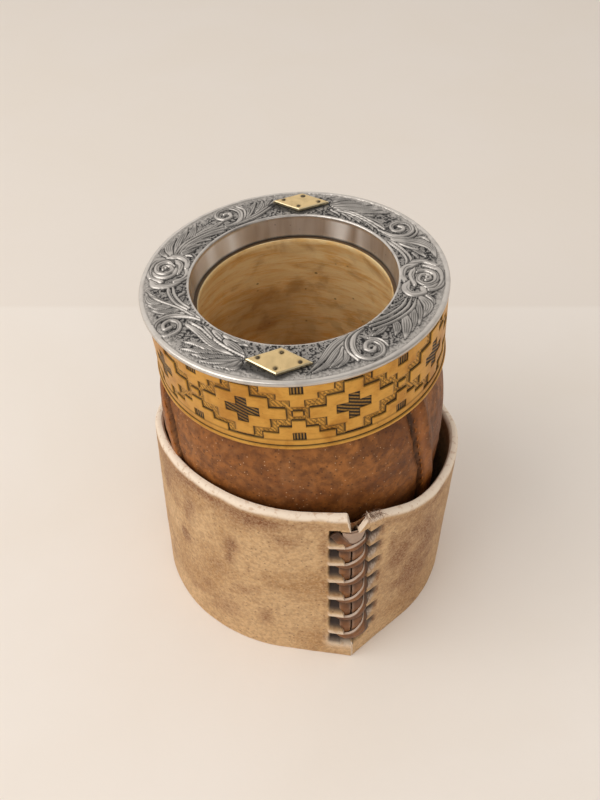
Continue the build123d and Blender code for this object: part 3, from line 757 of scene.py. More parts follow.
inMouth = ease(mouth + rim["mouthBorder"] + 0.45, mouth + rim["mouthBorder"] + 0.15, rr)
bare = np.maximum(inBorder, inMouth)
relief["height"] = np.full(len(rr), -0.16)
relief["dark"] = np.full(len(rr), 0.32)
relief["ground"] = np.ones(len(rr))
drawOrnament(relief)
groove = bell(rr, outer - rim["border"] - 0.3, 0.14)
relief["height"] = mix(relief["height"], 0.05, bare) - 0.12 * groove
relief["dark"] = np.maximum(relief["dark"] * (1.0 - bare), 0.75 * groove)
relief["ground"] = relief["ground"] * (1.0 - bare)
# the hammered ground rises and falls a little between its pits
onPlane = np.c_[relief["xy"], np.zeros(len(rr))]
pitted = noise(onPlane, 0.5, 5)
relief["height"] += relief["ground"] * pitted * 0.12
relief["dark"] += relief["ground"] * ease(-0.05, 0.4, pitted) * 0.6
aged = roughNoise(onPlane, 5.0, 6)
relief["dark"] += (1.0 - bare) * (0.1 + 0.16 * ease(-0.2, 0.5, aged))
# the hammering fades out towards the lip
calm = ease(outer - 4.6, outer - 1.8, rr)
relief["dark"] *= 1.0 - 0.6 * calm * (relief["ground"] > 0.5)
relief["ground"] *= 1.0 - 0.5 * calm
# each diamond stands in its own dark shadow
for bearingDeg, shift in ((plates["front"][0], -0.6), (plates["back"][0], -0.4)):
    plateTurn = math.radians(bearingDeg)
    middle = plates["polar"] * np.array([math.cos(plateTurn), math.sin(plateTurn)]) + np.array([shift, -0.7])
    apart = np.abs(relief["xy"] - middle)
    nearness = ease(1.4, 1.0, apart[:, 0] / 9.4 + apart[:, 1] / 5.3) * (1.0 - inBorder)
    relief["dark"] = np.maximum(relief["dark"], 0.9 * nearness)
liftEnd = ease(mouth + 0.6, mouth + 1.0, rr) * ease(outer - 0.62, outer - 1.0, rr)
z[onRing] += (relief["height"] * liftEnd).reshape(ringShape)
places = roundAxis(r, a, z)
z += rim["wobble"] * noise(places, 14.0, 2) * (r > mouth + 2.0)
dents = roughNoise(places * np.array([1.0, 1.0, 0.6]), 7.0, 9)
r = r + 0.09 * dents * ((z < -0.4) & (r < mouth))
dark, ground = np.zeros(r.shape), np.zeros(r.shape)
dark[onRing] = np.clip(relief["dark"], 0, 1).reshape(ringShape)
ground[onRing] = np.clip(relief["ground"], 0, 1).reshape(ringShape)
dark = np.maximum(dark, 0.85 * ease(-7.0, -7.3, z) * (r < mouth + 0.2))
collar = (ease(-0.1, -0.5, z) * (r < mouth + 0.15))
# painted highlights on the collar, and a paler painted highlight along the lip
bearingAt = np.degrees(a) + 4.0 * noise(places * np.array([1.0, 1.0, 0.3]), 5.0, 12)
highlightMask = sum(strength * bell(bearingAt, middle, width) for middle, width, strength in rim["paintedHighlights"])
highlightMask = highlightMask * collar * (0.75 + 0.25 * dents)
lipBand = ease(outer - rim["border"] - 0.1, outer - rim["border"] + 0.15, r) * ease(-1.2, -0.9, z)
highlightMask = np.maximum(highlightMask, 0.3 * lipBand)
collar = np.maximum(collar, 0.35 * lipBand)
rimPlate = gridObject("rimPlate", onCup(r, a, z), wrapRows=True, wrapColumns=True,
                      values=dict(dark=dark, ground=ground, collar=collar, highlightMask=highlightMask), material=silver)
finishPiece(rimPlate, "silver", "silver_rim")
print("rim made")

# ---- brass band
# A grid round the cup: columns by distance round, rows by height, both closest at the edges of the
# stepped pattern. Its radius is the band's, less the depth of the ground where no cross or half cross
# is, less a little on the engraved arms and bars; then it goes over the bead and up inside.
band = dict(repeats=9, crossAngle=250.0, middle=-12.2, top=-2.0, bottom=-22.5, depth=0.45, fill=0.56,
            edge=0.06, cross=((12.2, 2.0), (7.6, 5.7), (2.65, 9.4)), arms=((1.65, 4.7), (5.0, 1.65)),
            half=((10.0, 2.7), (5.5, 5.1), (1.9, 7.7)), bar=(1.85, 2.9), link=(1.35, 1.0),
            beadHeight=1.4)
halfArc = math.pi / band["repeats"] * cup["bandRadius"]


# Grid lines between two ends with a pair of lines close on either side of every edge.
def snapped(low, high, edges, fill, gap):
    near = sorted({round(e + d, 4) for e in edges for d in (-gap, gap) if low < e + d < high})
    marks = np.array([low, *near, high])
    steps = [np.linspace(p, q, max(int(round((q - p) / fill)), 1), endpoint=False) for p,
             q in zip(marks[:-1], marks[1:])]
    return np.concatenate([*steps, [high]])


sEdges = [w for w, h in band["cross"]] + [w for w, h in band["arms"]] + [band["bar"][0] * 0.95]
sEdges += [halfArc - w for w, h in band["half"]] + [halfArc - band["bar"][0], halfArc - band["link"][0]]
sLines = snapped(-halfArc, halfArc, sEdges + [-e for e in sEdges], band["fill"], band["edge"])[:-1]
m = band["middle"]
zEdges = [m + k * h for w, h in band["cross"] + band["arms"] for k in (-1, 1)]
zEdges += [band["top"] - h for w, h in band["half"]] + [band["bottom"] + h for w, h in band["half"]]
zEdges += [band["top"], band["bottom"], m + band["link"][1], m - band["link"][1],
           band["top"] - band["bar"][1], band["bottom"] + band["bar"][1]]
zLines = snapped(band["bottom"] - 0.5, -1.5, sorted(zEdges), band["fill"], band["edge"])[::-1]
s = np.tile(sLines, band["repeats"])
turn = np.repeat(np.arange(band["repeats"]), len(sLines)) * 2 * math.pi / band["repeats"]
angle = math.radians(band["crossAngle"]) + turn + s / cup["bandRadius"]
S, Z = np.meshgrid(s, zLines)
v = Z - m
away = halfArc - np.abs(S)
raised = np.zeros(S.shape, bool)
for w, h in band["cross"]:
    raised |= (np.abs(S) < w) & (np.abs(v) < h)
for w, h in band["half"]:
    raised |= (away < w) & ((Z > band["top"] - h) | (Z < band["bottom"] + h))
raised |= (Z > band["top"]) | (Z < band["bottom"])
raised |= (away < band["link"][0]) & (np.abs(v) < band["link"][1])
plus = np.zeros(S.shape, bool)
for w, h in band["arms"]:
    plus |= (np.abs(S) < w) & (np.abs(v) < h)
bars = (away < band["bar"][0]) & ((Z < band["top"]) & (Z > band["top"] - band["bar"][1])
                                  | (Z > band["bottom"]) & (Z < band["bottom"] + band["bar"][1]))
bars |= (np.abs(S) < band["bar"][0] * 0.95) & (Z > band["bottom"]) & (Z < m - band["cross"][2][1])
sunk = ~raised


# How far each grid point is from the nearest border of a mask, up to a reach, by widening it step by step.
def nearBorder(mask, a, b, reach):
    points = np.stack([a, b], -1)
    close = np.zeros(mask.shape)
    for dj, di in ((0, 1), (0, -1), (1, 0), (-1, 0)):
        for step in (1, 2):
            other = np.roll(mask, (di * step, dj * step), (0, 1)) != mask
            gap = np.linalg.norm(points - np.roll(points, (di * step, dj * step), (0, 1)), axis=-1)
            close = np.maximum(close, other * np.clip(1.4 - gap / reach, 0.0, 1.0))
    return close


outline = np.clip(1.5 * nearBorder(raised, S, Z, 0.6) * sunk, 0.0, 1.0)
plusLine = np.maximum(nearBorder(plus, S, Z, 0.5), nearBorder(bars, S, Z, 0.4))
around = roundAxis(cup["bandRadius"] + 0 * Z, angle[None, :], Z)
drop = np.where(sunk, band["depth"] + 0.08 * noise(around, 0.9, 4), 0.0)
drop = np.maximum(drop, np.maximum(plus * 0.22, bars * 0.3))
bandR = cup["bandRadius"] - 0.02 - drop + 0.05 * noise(around, 9.0, 6)
wander = 0.09 * np.stack([noise(around, 4.0, 7), noise(around, 4.0, 8)], -1)
bandA = angle[None, :] + wander[..., 0] / cup["bandRadius"]
bandZ = Z + wander[..., 1] * ease(-1.5, -2.5, Z) * ease(band["bottom"] - 0.5, band["bottom"] + 0.6, Z)
dark = np.clip(np.maximum(outline, 0.9 * plusLine * (plus | bars)), 0, 1)
dark = np.maximum(dark, 0.5 * (plus | bars))
dark = np.maximum(dark, 0.45 * bell(Z, band["bottom"] + 0.05, 0.16))
# below the pattern: a dark line, the round bead and the wall inside; out, up and how dark
foot = -cup["bandBottom"]
beadTop = foot + band["beadHeight"]
below = [(0.0, beadTop + 0.3, 0.0), (0.0, beadTop + 0.1, 0.9), (0.0, beadTop, 1.0),
         (0.3, beadTop - 0.12, 0.2),
         (0.46, beadTop - 0.4, 0.0), (0.5, beadTop - 0.75, 0.0), (0.44, foot + 0.3, 0.0),
         (0.25, foot + 0.05, 0.3), (-0.1, foot, 0.6), (-0.8, foot, 0.6), (-0.8, -15.0, 0.3),
         (-0.8, -1.5, 0.3)]
tail = np.array(below)[:, None, :] * np.ones((1, len(s), 1))
bandR = np.concatenate([bandR, cup["bandRadius"] + tail[..., 0]])
bandZ = np.concatenate([bandZ, tail[..., 1]])
bandA = np.concatenate([bandA, np.repeat(angle[None, :], len(below), 0)])
empty = np.zeros(tail.shape[:2])
values = dict(dark=np.concatenate([dark, tail[..., 2]]), hatch=np.concatenate([sunk & ~bars, empty]),
              weave=np.concatenate([plus, empty]), bars=np.concatenate([bars, empty]))
points = onCup(bandR, bandA, bandZ) + cup["bandShift"] * cupX
bandHoop = gridObject("bandHoop", points, wrapRows=True, wrapColumns=True, flip=True, values=values,
                      material=bandBrass)
finishPiece(bandHoop, "brass", "brass_band")
print("band made")

# ---- gourd
# One line turned round the cup's axis: up the bowl's wall to its floor, then round the shell outside
# and back over the neck to the lip. The bowl's radius wavers with noise.
gourd = dict(columns=300,
             bowl=((28.8, -7.4), (28.9, -8.6), (29.6, -10.5), (32.6, -18.0), (36.6, -32.0), (38.9, -50.0),
                   (38.4, -66.0), (35.6, -84.0), (28.0, -100.0), (14.0, -109.0), (0.0, -111.5)),
             outside=((0.0, -120.4), (13.2, -118.6), (27.2, -111.2), (36.6, -97.3), (41.6, -79.6),
                      (43.6, -62.0),
                      (44.0, -48.0), (43.4, -38.0), (41.9, -30.0), (39.4, -24.0), (37.0, -12.0),
                      (35.6, -1.8)))
bowl = smoothThrough(gourd["bowl"], 96)
shell = smoothThrough(gourd["outside"], 40)
neck = np.array([(35.6, -1.8), (31.3, -1.8), (31.3, -7.4), (29.2, -7.4)])
section = np.concatenate([bowl, shell, neck])
theta = np.linspace(0.0, 2.0 * math.pi, gourd["columns"], endpoint=False)
r, z = spun(section[:, 0], gourd["columns"]), spun(section[:, 1], gourd["columns"])
a = np.tile(theta, (len(section), 1))
within = (np.arange(len(section)) < len(bowl))[:, None]
places = roundAxis(r, a, z)
uneven = 0.5 * roughNoise(places, 22.0, 21) + 0.12 * noise(places * np.array([1.0, 1.0, 4.0]), 9.0, 25)
r = np.maximum(r + within * uneven * ease(0.0, 12.0, r) * ease(-7.4, -12.0, z), 0.0)
dark = ~within * (r < 32.0) * (z > -10.0) * 0.95
# painted shade deep in the bowl; the dark blots gather in the same place
paintedDeepShade = within * 0.75 * ease(44.0, 26.0, r + 3.0 * noise(places, 9.0, 27)) * ease(-26.0, -60.0, z)
clouds = roughNoise(places, 20.0, 28) + 0.6 * bell(a, 1.9, 0.6) - 0.15
murk = within * ease(-14.0, -30.0, z) * ease(0.1, 0.7, clouds)
gourdShell = gridObject("gourdShell", onCup(r, a, z), wrapRows=True, wrapColumns=True,
                        values=dict(dark=dark, paintedDeepShade=paintedDeepShade, murk=murk), material=calabash, weld=0.02)
finishPiece(gourdShell, "gourd", "gourd")
print("gourd made")

# ---- leather cover
# One line turned round the cup's axis, from under the band to the middle of the foot and back up as a
# lining. At both seams its radius swells into a flap and a fold and drops in the gutter beside them.
cover = dict(columns=420, leftSeam=((-27.0, -158.3), (-34.5, -148.7), (-45.0, -144.5), (-64.0, -140.0)),
             rightSeam=((-27.9, -42.7), (-35.1, -42.8), (-44.1, -41.7), (-55.8, -38.6), (-63.7, -37.1)),
             outside=((41.2, -24.0), (43.7, -30.0), (45.2, -38.0), (45.8, -48.0), (45.4, -62.0),
                      (43.4, -80.0), (38.4, -98.0),
                      (29.0, -112.0), (15.0, -120.0), (0.0, -122.2)), wall=1.6)
hide = smoothThrough(cover["outside"], 170)
theta = np.linspace(-math.pi, math.pi, cover["columns"], endpoint=False)
r, z = spun(hide[:, 0], cover["columns"]), spun(hide[:, 1], cover["columns"])
a = np.tile(theta, (len(hide), 1))


# Where a seam runs: its angle at a height, from a few marks down its length.
def seamAngle(marks, height):
    marks = np.array(marks)[::-1]
    return np.radians(np.interp(height, marks[:, 0], marks[:, 1]))


rightOff = (a - seamAngle(cover["rightSeam"], z)) * r
leftOff = (a - seamAngle(cover["leftSeam"], z)) * r
places = roundAxis(r, a, z)
wavy = 0.5 * noise(places, 6.0, 31)
flap = ease(-0.3, 0.5, rightOff + 0.9 * wavy) * ease(10.5, 5.0, rightOff)
gutter = bell(rightOff + 0.9 * wavy, -0.1, 0.5 + 0.3 * wavy)
fold = bell(rightOff, 5.2 + wavy, 1.0)
crease = bell(rightOff, 6.9 + 1.4 * wavy, 0.45) * ease(-0.3, 0.4, noise(places, 4.5, 38))
leftFold = ease(0.3, -0.4, leftOff + 0.5 * wavy) * ease(-9.0, -3.0, leftOff)
leftGutter = bell(leftOff + 0.5 * wavy, 0.2, 0.5)
swell = 1.5 * flap + 0.5 * fold - 0.9 * gutter - 0.5 * crease + 1.2 * leftFold - 0.7 * leftGutter
flapTint = bell(rightOff, 2.3, 1.6) + bell(leftOff, -2.6, 1.8)
swell = swell * ease(-24.3, -28.0, z) * ease(-112.0, -90.0, z)
wrinkle = 0.22 * roughNoise(places, 11.0, 33) + 0.14 * noise(places, 2.2, 35)
coverR = np.maximum(r + (swell + wrinkle) * ease(0.0, 15.0, r) * ease(-24.0, -27.0, z), 0.0)
# painted shade in the seam gutters and in the crease beside the flap
dark = np.clip(0.95 * gutter + 0.85 * leftGutter + 0.7 * crease, 0, 1) * ease(-110.0, -80.0, z)
shade = ease(-40.0, -75.0, z + 5.0 * noise(places, 16.0, 37))
lining = hide[::-12].copy()
lining[:, 0] = np.maximum(lining[:, 0] - cover["wall"], 0.0)
lining[:, 1] = mix(lining[:, 1], lining[:, 1] + cover["wall"], ease(-70.0, -122.0, lining[:, 1]))
inR, inZ = spun(lining[:, 0], cover["columns"]), spun(lining[:, 1], cover["columns"])
none = np.zeros(inR.shape)
around = onCup(np.concatenate([coverR, inR]), np.concatenate([a, none + theta]), np.concatenate([z, inZ]))
tints = dict(dark=dark, shade=shade, flap=flapTint)
hideCover = gridObject("hideCover", around, wrapRows=True, wrapColumns=True, flip=True,
                       material=coverLeather,
                       weld=0.02, values={key: np.concatenate([tint, none]) for key, tint in tints.items()})
finishPiece(hideCover, "cover_leather", "leather_cover")


# A flat or rounded ribbon along a path: its section is a rounded rectangle carried from point to
# point, with the given half width and half thickness at each, narrowing to closed ends.
def ribbonGrid(path, across, normal, halfWidth, halfThick, around=14, power=0.55):
    t = np.linspace(0.0, 2.0 * math.pi, around, endpoint=False)
    c = np.sign(np.cos(t)) * np.abs(np.cos(t)) ** power
    q = np.sign(np.sin(t)) * np.abs(np.sin(t)) ** power
    wide = across[:, None, :] * (c[None, :] * halfWidth[:, None])[..., None]
    thick = normal[:, None, :] * (q[None, :] * halfThick[:, None])[..., None]
    return path[:, None, :] + wide + thick, np.tile(c, (len(path), 1))


def unit(v):
    return v / np.maximum(np.linalg.norm(v, axis=-1, keepdims=True), 1e-9)


# Frames along a path: the normals given are made square to the path, and across is square to both.
def framesAlong(path, normal):
    forward = unit(np.gradient(path, axis=0))
    normal = unit(normal - (normal * forward).sum(-1, keepdims=True) * forward)
    return np.cross(forward, normal), normal


# Half widths that close at both ends over the given share of the length.
def closedEnds(count, share):
    t = np.linspace(0.0, 1.0, count)
    e = np.clip(np.minimum(t, 1.0 - t) / share, 0.0, 1.0)
    return np.sqrt(np.maximum(1.0 - (1.0 - e) ** 2, 0.0)) + 1e-4


# Several ribbons in one mesh.
def ribbonsObject(name, ribbons, material, power=0.55, rawShare=0.3):
    points, quads, raw, dark, total = [], [], [], [], 0
    for path, normal, halfWidth, halfThick, *shade in ribbons:
        across, normal = framesAlong(path, normal)
        grid, c = ribbonGrid(path, across, normal, halfWidth, halfThick, power=power)
        rows, columns = grid.shape[:2]
        points.append(grid.reshape(-1, 3))
        quads.append(gridQuads(rows, columns, wrapColumns=True) + total)
        raw.append((rawShare * np.abs(c) ** 6).ravel())
        dark.append(((shade[0] if shade else np.zeros(rows))[:, None] + 0 * c).ravel())
        total += rows * columns
    return meshObject(name, np.concatenate(points), np.concatenate(quads)[:, ::-1], material=material,
                      weld=0.002,
                      values=dict(raw=np.concatenate(raw), dark=np.concatenate(dark), shade=np.zeros(total),
                                  flap=np.ones(total)))


# Points on the cover, standing a little above it.
def onCover(angle, height, stand):
    outline = np.array(cover["outside"])[::-1]
    radius = np.interp(height, outline[:, 1], outline[:, 0]) + stand
    return onCup(radius, angle, height)


stitches = dict(pitch=3.6, length=2.2, halfWidth=0.28, top=-27.5, bottom=-66.0)
ribbons = []
for marks, off, stand, slant in ((cover["rightSeam"], 0.5, 0.95, 0.7),
                                 (cover["leftSeam"], -0.9, 0.95, -0.7)):
    for height in np.arange(stitches["top"], stitches["bottom"], -stitches["pitch"]):
        t = np.linspace(-0.5, 0.5, 9)
        h = height + t * stitches["length"]
        angle = seamAngle(marks, h) + (off + slant * t) / 45.0
        path = onCover(angle, h, stand + 0.25 - 1.6 * t ** 2)
        outward = onCover(angle, h, stand + 1.0) - onCover(angle, h, stand)
        ribbons.append((path, outward, stitches["halfWidth"] * closedEnds(9, 0.3),
                        0.22 * closedEnds(9, 0.3)))
coverStitches = ribbonsObject("coverStitches", ribbons, coverLeather, power=0.9)
finishPiece(coverStitches, "lace_leather")
print("cover made")


# ---- rawhide sleeve
# One sheet with thickness: columns by distance round from the laced corner, rows from the top edge to
# the foot, kept to the edges of the slots. How far a point lies in from the outline is the sum of the
# thin part under the lacing, the tabs, the scoops, unevenness and the rounded edges.
sleeveMiddle = np.array(sleeve["middle"])
cornerTurn = math.radians(sleeve["cornerAngle"])
seamAcross = np.array([-math.sin(cornerTurn), math.cos(cornerTurn)])
seamOut = np.array([math.cos(cornerTurn), math.sin(cornerTurn)])


# A point in the seam's own frame: across the corner, outwards from the middle, and up.
def atSeam(across, out, up):
    across, out, up = np.broadcast_arrays(np.asarray(across, float), out, up)
    flat = sleeveMiddle + across[..., None] * seamAcross + out[..., None] * seamOut
    return np.concatenate([flat, up[..., None]], -1)


# How far the corner stands out at a height: full at the foot, drawn in higher up.
def cornerOut(height):
    drawn = sleeve["drawnIn"] * ease(4.0, 62.0, height) + 0.3 * height / sleeve["height"]
    return sleeve["footCorner"] - drawn


# The hoop's outline at a height, by distance round from the corner (left negative): a straight panel
# to where it meets the circle, then the circle. Gives the point and the outward direction in plan.
footStraight = math.sqrt(sleeve["footCorner"] ** 2 - sleeve["footRadius"] ** 2)
halfRound = footStraight + sleeve["footRadius"] * (math.pi - math.acos(sleeve["footRadius"]
                                                                       / sleeve["footCorner"]))


def hoopOutline(s, height):
    up = height / sleeve["height"]
    radius = mix(sleeve["footRadius"], sleeve["topRadius"], up)
    corner = cornerOut(height)
    reach = np.arccos(radius / corner)
    straight = np.sqrt(corner ** 2 - radius ** 2)
    d = np.abs(s) * (straight + radius * (math.pi - reach)) / halfRound
    side = np.where(s < 0, -1.0, 1.0)
    turn = cornerTurn + side * (reach + np.maximum(d - straight, 0.0) / radius)
    outward = np.stack([np.cos(turn), np.sin(turn)], -1)
    along = np.stack([-np.sin(turn), np.cos(turn)], -1) * -side[..., None]
    centre = sleeveMiddle + up[..., None] * np.array([sleeve["topShift"], 0.0])
    rest = np.maximum(straight - d, 0.0)[..., None]
    return centre + radius[..., None] * outward + along * rest, outward


# A point of the sleeve: distance round from the corner, height, and depth in from the outer face.
def onSleeve(s, height, depth):
    s, height, depth = np.broadcast_arrays(np.asarray(s, float), np.asarray(height, float),
                                           np.asarray(depth, float))
    flat, outward = hoopOutline(s, height)
    return np.concatenate([flat - depth[..., None] * outward, height[..., None]], -1)


# A point of the lacing: across from its own middle line, which leans to the left as it climbs, how
# far it stands out from the corner, and its height.
def onLacing(across, rise, height):
    up = height / sleeve["height"]
    out = cornerOut(height) - sleeve["topShift"] * up * math.cos(cornerTurn + math.pi) + rise
    return atSeam(across + 0.35 - 1.4 * up, out, height)


def leftSlotTop(k):
    return 68.5 - 7.9 * k - 0.18 * k * k


def rightSlotTop(k):
    return 65.7 - 7.6 * k - 0.09 * k * k


hoop = dict(slotRows=5, tabRows=14, endRows=16, seamStep=0.32, arcStep=1.7, leftSlot=(4.4, 8.3),
            leftSlotDeep=1.4,
            rightSlotDeep=1.2, lacing=(8.6, 67.7), topRound=1.6, footRound=0.35, tabReach=4.4,
            tabDeep=3.0, tabOut=0.95, scoopDeep=2.3, lipOut=0.7,
            topLeft=((0, 74.6), (12, 74.6), (25, 75.0), (48, 75.6), (70, 74.4), (80, 72.6), (91, 69.6),
                     (98, 66.8), (104, 64.6), (118, 62.0), (165, 58.0)),
            topRight=((0, 73.6), (4, 72.4), (14, 68.3), (23, 64.9), (34, 62.6), (47, 61.6), (57, 60.3),
                      (66, 59.6), (74, 57.2), (80, 55.6), (92, 54.6), (115, 56.0), (165, 58.0)))
bounds = [(sleeve["height"], sleeve["height"], hoop["endRows"])]
for k in range(sleeve["slots"]):
    bounds.append((leftSlotTop(k), rightSlotTop(k), hoop["slotRows"]))
    bounds.append((leftSlotTop(k) - hoop["leftSlotDeep"], rightSlotTop(k) - hoop["rightSlotDeep"],
                   hoop["tabRows"] if k < sleeve["slots"] - 1 else hoop["endRows"]))
bounds.append((0.0, 0.0, 0))
leftRows, rightRows, slotRow = [], [], []
for (l0, r0, n), (l1, r1, _) in zip(bounds[:-1], bounds[1:]):
    t = np.linspace(0.0, 1.0, n, endpoint=False)
    if l0 == sleeve["height"]:
        t = t ** 1.7
    if l1 == 0.0:
        t = 1.0 - (1.0 - t) ** 1.4
    leftRows.append(mix(l0, l1, t))
    rightRows.append(mix(r0, r1, t))
    slotRow.append(np.full(n, n == hoop["slotRows"]))
leftRows = np.concatenate([*leftRows, [0.0]])
rightRows = np.concatenate([*rightRows, [0.0]])
slotRow = np.concatenate(slotRow)

near = np.arange(0.0, 10.6, hoop["seamStep"])
grow = 10.6 + np.cumsum(np.linspace(hoop["seamStep"], hoop["arcStep"], 14))
far = np.linspace(grow[-1], halfRound, int((halfRound - grow[-1]) / hoop["arcStep"]) + 1)
half = np.concatenate([near, grow[:-1], far])
s = np.concatenate([-half, half[::-1][1:]])
onLeft = np.arange(len(s)) < len(half)
slotCell = np.zeros((len(leftRows) - 1, len(s) - 1), bool)
sMid = (s[1:] + s[:-1]) / 2
leftCells = (sMid < -hoop["leftSlot"][0]) & (sMid > -hoop["leftSlot"][1])
slotCell[:] = slotRow[:, None] & leftCells[None, :]

# rows lean from the left side's heights to the right side's, round the back
blend = np.where(onLeft, ease(-20.0, -halfRound, s) * 0.5, 1.0 - ease(20.0, halfRound, s) * 0.5)
S = np.repeat(s[None, :], len(leftRows), 0)
H = mix(leftRows[:, None], rightRows[:, None], blend[None, :])
# the top edge keeps its height at the front left and falls away to the right and the back
topLeft, topRight = np.array(hoop["topLeft"]), np.array(hoop["topRight"])
topEdge = np.where(onLeft, np.interp(-s, *topLeft.T), np.interp(s, *topRight.T))
soft = np.exp(-np.linspace(-2.0, 2.0, 9) ** 2)
topEdge = np.convolve(np.pad(topEdge, 4, mode="wrap"), soft / soft.sum(), mode="valid")
reachDown = np.where(onLeft, 8.0, 8.0 + 26.0 * ease(5.0, 34.0, s))
reachDown = np.where(onLeft, 8.0 + 26.0 * ease(-60.0, -104.0, s), reachDown)
H = H - (sleeve["height"] - topEdge)[None, :] * ease(sleeve["height"] - reachDown[None, :], sleeve["height"],
                                                     H) ** 0.8
places = onSleeve(S, H, np.zeros(S.shape))
leftSide = np.repeat(onLeft[None, :], len(leftRows), 0)
# the two ends of the strip: a butt joint with a small gap, and a notch open at the top
joint = -1.6 * H / 60.0 + 0.3 * ease(10.0, 0.0, H)
notchLeft = mix(-2.7, -4.3, np.clip((H - 67.2) / 7.0, 0.0, 1.0))
notchRight = mix(-1.7, 3.2, np.clip((H - 66.8) / 5.6, 0.0, 1.0))
inNotch = ease(66.9, 67.4, H)
endLeft = mix(joint - 0.1, notchLeft, inNotch)
endRight = mix(joint + 0.2, notchRight, inNotch)
end = np.where(leftSide, endLeft, endRight)
fixed = hoop["tabReach"]
fixedAt = np.where(leftSide, -fixed, fixed)
S = np.where(np.abs(S) < fixed, end + S * (fixedAt - end) / fixedAt, S)
# where each row stands in its slot-and-tab step: 0 below a slot's top edge, 1 at the next slot's top
k = np.arange(sleeve["slots"] + 1)
stepLeft = (np.interp(-H, -leftSlotTop(k), k) - 1e-6) % 1.0
stepRight = (np.interp(-H, -rightSlotTop(k), k) - 1e-6) % 1.0
straightS = np.repeat(np.abs(s)[None, :], len(leftRows), 0)
inRun = ease(leftSlotTop(6) - 8.0, leftSlotTop(6) - 5.0, H) * (H < leftSlotTop(0) + 0.01)
# both rows of slots follow the lacing's lean, and the cut ends of the tabs slant to the right
slide = -1.2 * np.clip((H - 14.0) / 54.0, 0.0,
                       1.0) * leftSide + (0.7 - 1.1 * np.clip(H / 66.0, 0.0, 1.0)) * ~leftSide
slide = slide * ease(18.0, 9.5, straightS) * ease(0.0, 3.5, straightS)
leanEnd = mix(-0.5, 1.3, ease(0.3, 1.0, stepLeft)) * inRun * leftSide
S = S + slide + leanEnd * ease(0.6, fixed, straightS) * ease(7.6, 5.2, straightS)
# under the lacing the hide is cut thin
inLacing = ease(hoop["lacing"][0] - 0.5, hoop["lacing"][0] + 0.3, H) * ease(hoop["lacing"][1] + 0.15,
                                                                            hoop["lacing"][1] - 0.1, H)
inner = ease(fixed + 0.05, fixed - 0.3, straightS) * inLacing
depth = inner * (3.1 - 0.3 * np.minimum(straightS, 4.0))
# each tab on the left dips under the slot's top edge and swells out to a rounded lower edge
across = ease(8.3 + 0.7 * stepLeft, 7.4 + 0.5 * stepLeft, straightS) * ease(fixed - 0.35, fixed,
                                                                            straightS) * leftSide
louvre = mix(hoop["tabDeep"], -hoop["tabOut"], ease(0.22, 0.84, stepLeft)) + 0.25 * ease(0.9, 1.0, stepLeft)
depth = mix(depth, louvre, across * inRun * (1.0 - inner))
lastTab = bell(H, 9.0, 3.2) * ease(10.5, 7.0, straightS) * leftSide
depth -= 0.5 * lastTab
# on the right each strap has drawn the hide into a scoop, deepest where the strap goes in
rightRun = ease(rightSlotTop(6) - 6.5, rightSlotTop(6) - 3.5, H) * ease(rightSlotTop(0) + 1.6,
                                                                        rightSlotTop(0) + 0.4, H) * ~leftSide
sideways = straightS - fixed
scoop = ease(5.2, 2.4, sideways + 1.4 * stepRight) * ease(-0.5, 0.0, sideways)
scoop = scoop * ease(0.0, 0.1, stepRight) * ease(0.8, 0.5, stepRight) * rightRun
lip = ease(3.8, 1.0, sideways) * ease(-0.5, 0.0, sideways) * bell(stepRight, 0.8, 0.15) * rightRun
depth += hoop["scoopDeep"] * scoop * mix(1.0, 0.3, ease(0.2, 0.6, stepRight)) - hoop["lipOut"] * lip
# slow unevenness, and the rounded upper edge
depth += 0.35 * roughNoise(places, 26.0, 51) * ease(0.0, 10.0, np.abs(S)) + 0.07 * roughNoise(places, 3.0,
                                                                                              53)
topDrop = topEdge[None, :] - H
roundTop = hoop["topRound"] - np.sqrt(np.maximum(hoop["topRound"] ** 2
                                                 - np.maximum(hoop["topRound"] - topDrop, 0.0) ** 2, 0.0))
roundFoot = hoop["footRound"] - np.sqrt(np.maximum(hoop["footRound"] ** 2 - np.maximum(hoop["footRound"] - H,
                                                                                       0.0) ** 2, 0.0))
depth = np.maximum(depth, -1.0) + roundTop + roundFoot
wall = mix(sleeve["footWall"], sleeve["topWall"], H / sleeve["height"])
wall = wall - 1.3 * ease(7.5, 3.5, straightS) * ease(64.0, 67.0, H) * ~leftSide
backDepth = np.maximum(wall - roundTop * 0.9, depth + 0.5)
sag = 0.35 * noise(places * np.array([1.0, 1.0, 0.0]), 19.0,
                   57) * ease(14.0, 0.0, topDrop) * ease(4.0, 12.0, np.abs(S))
outerFace = onSleeve(S, H + sag, depth)
innerFace = onSleeve(S, H + sag, backDepth)

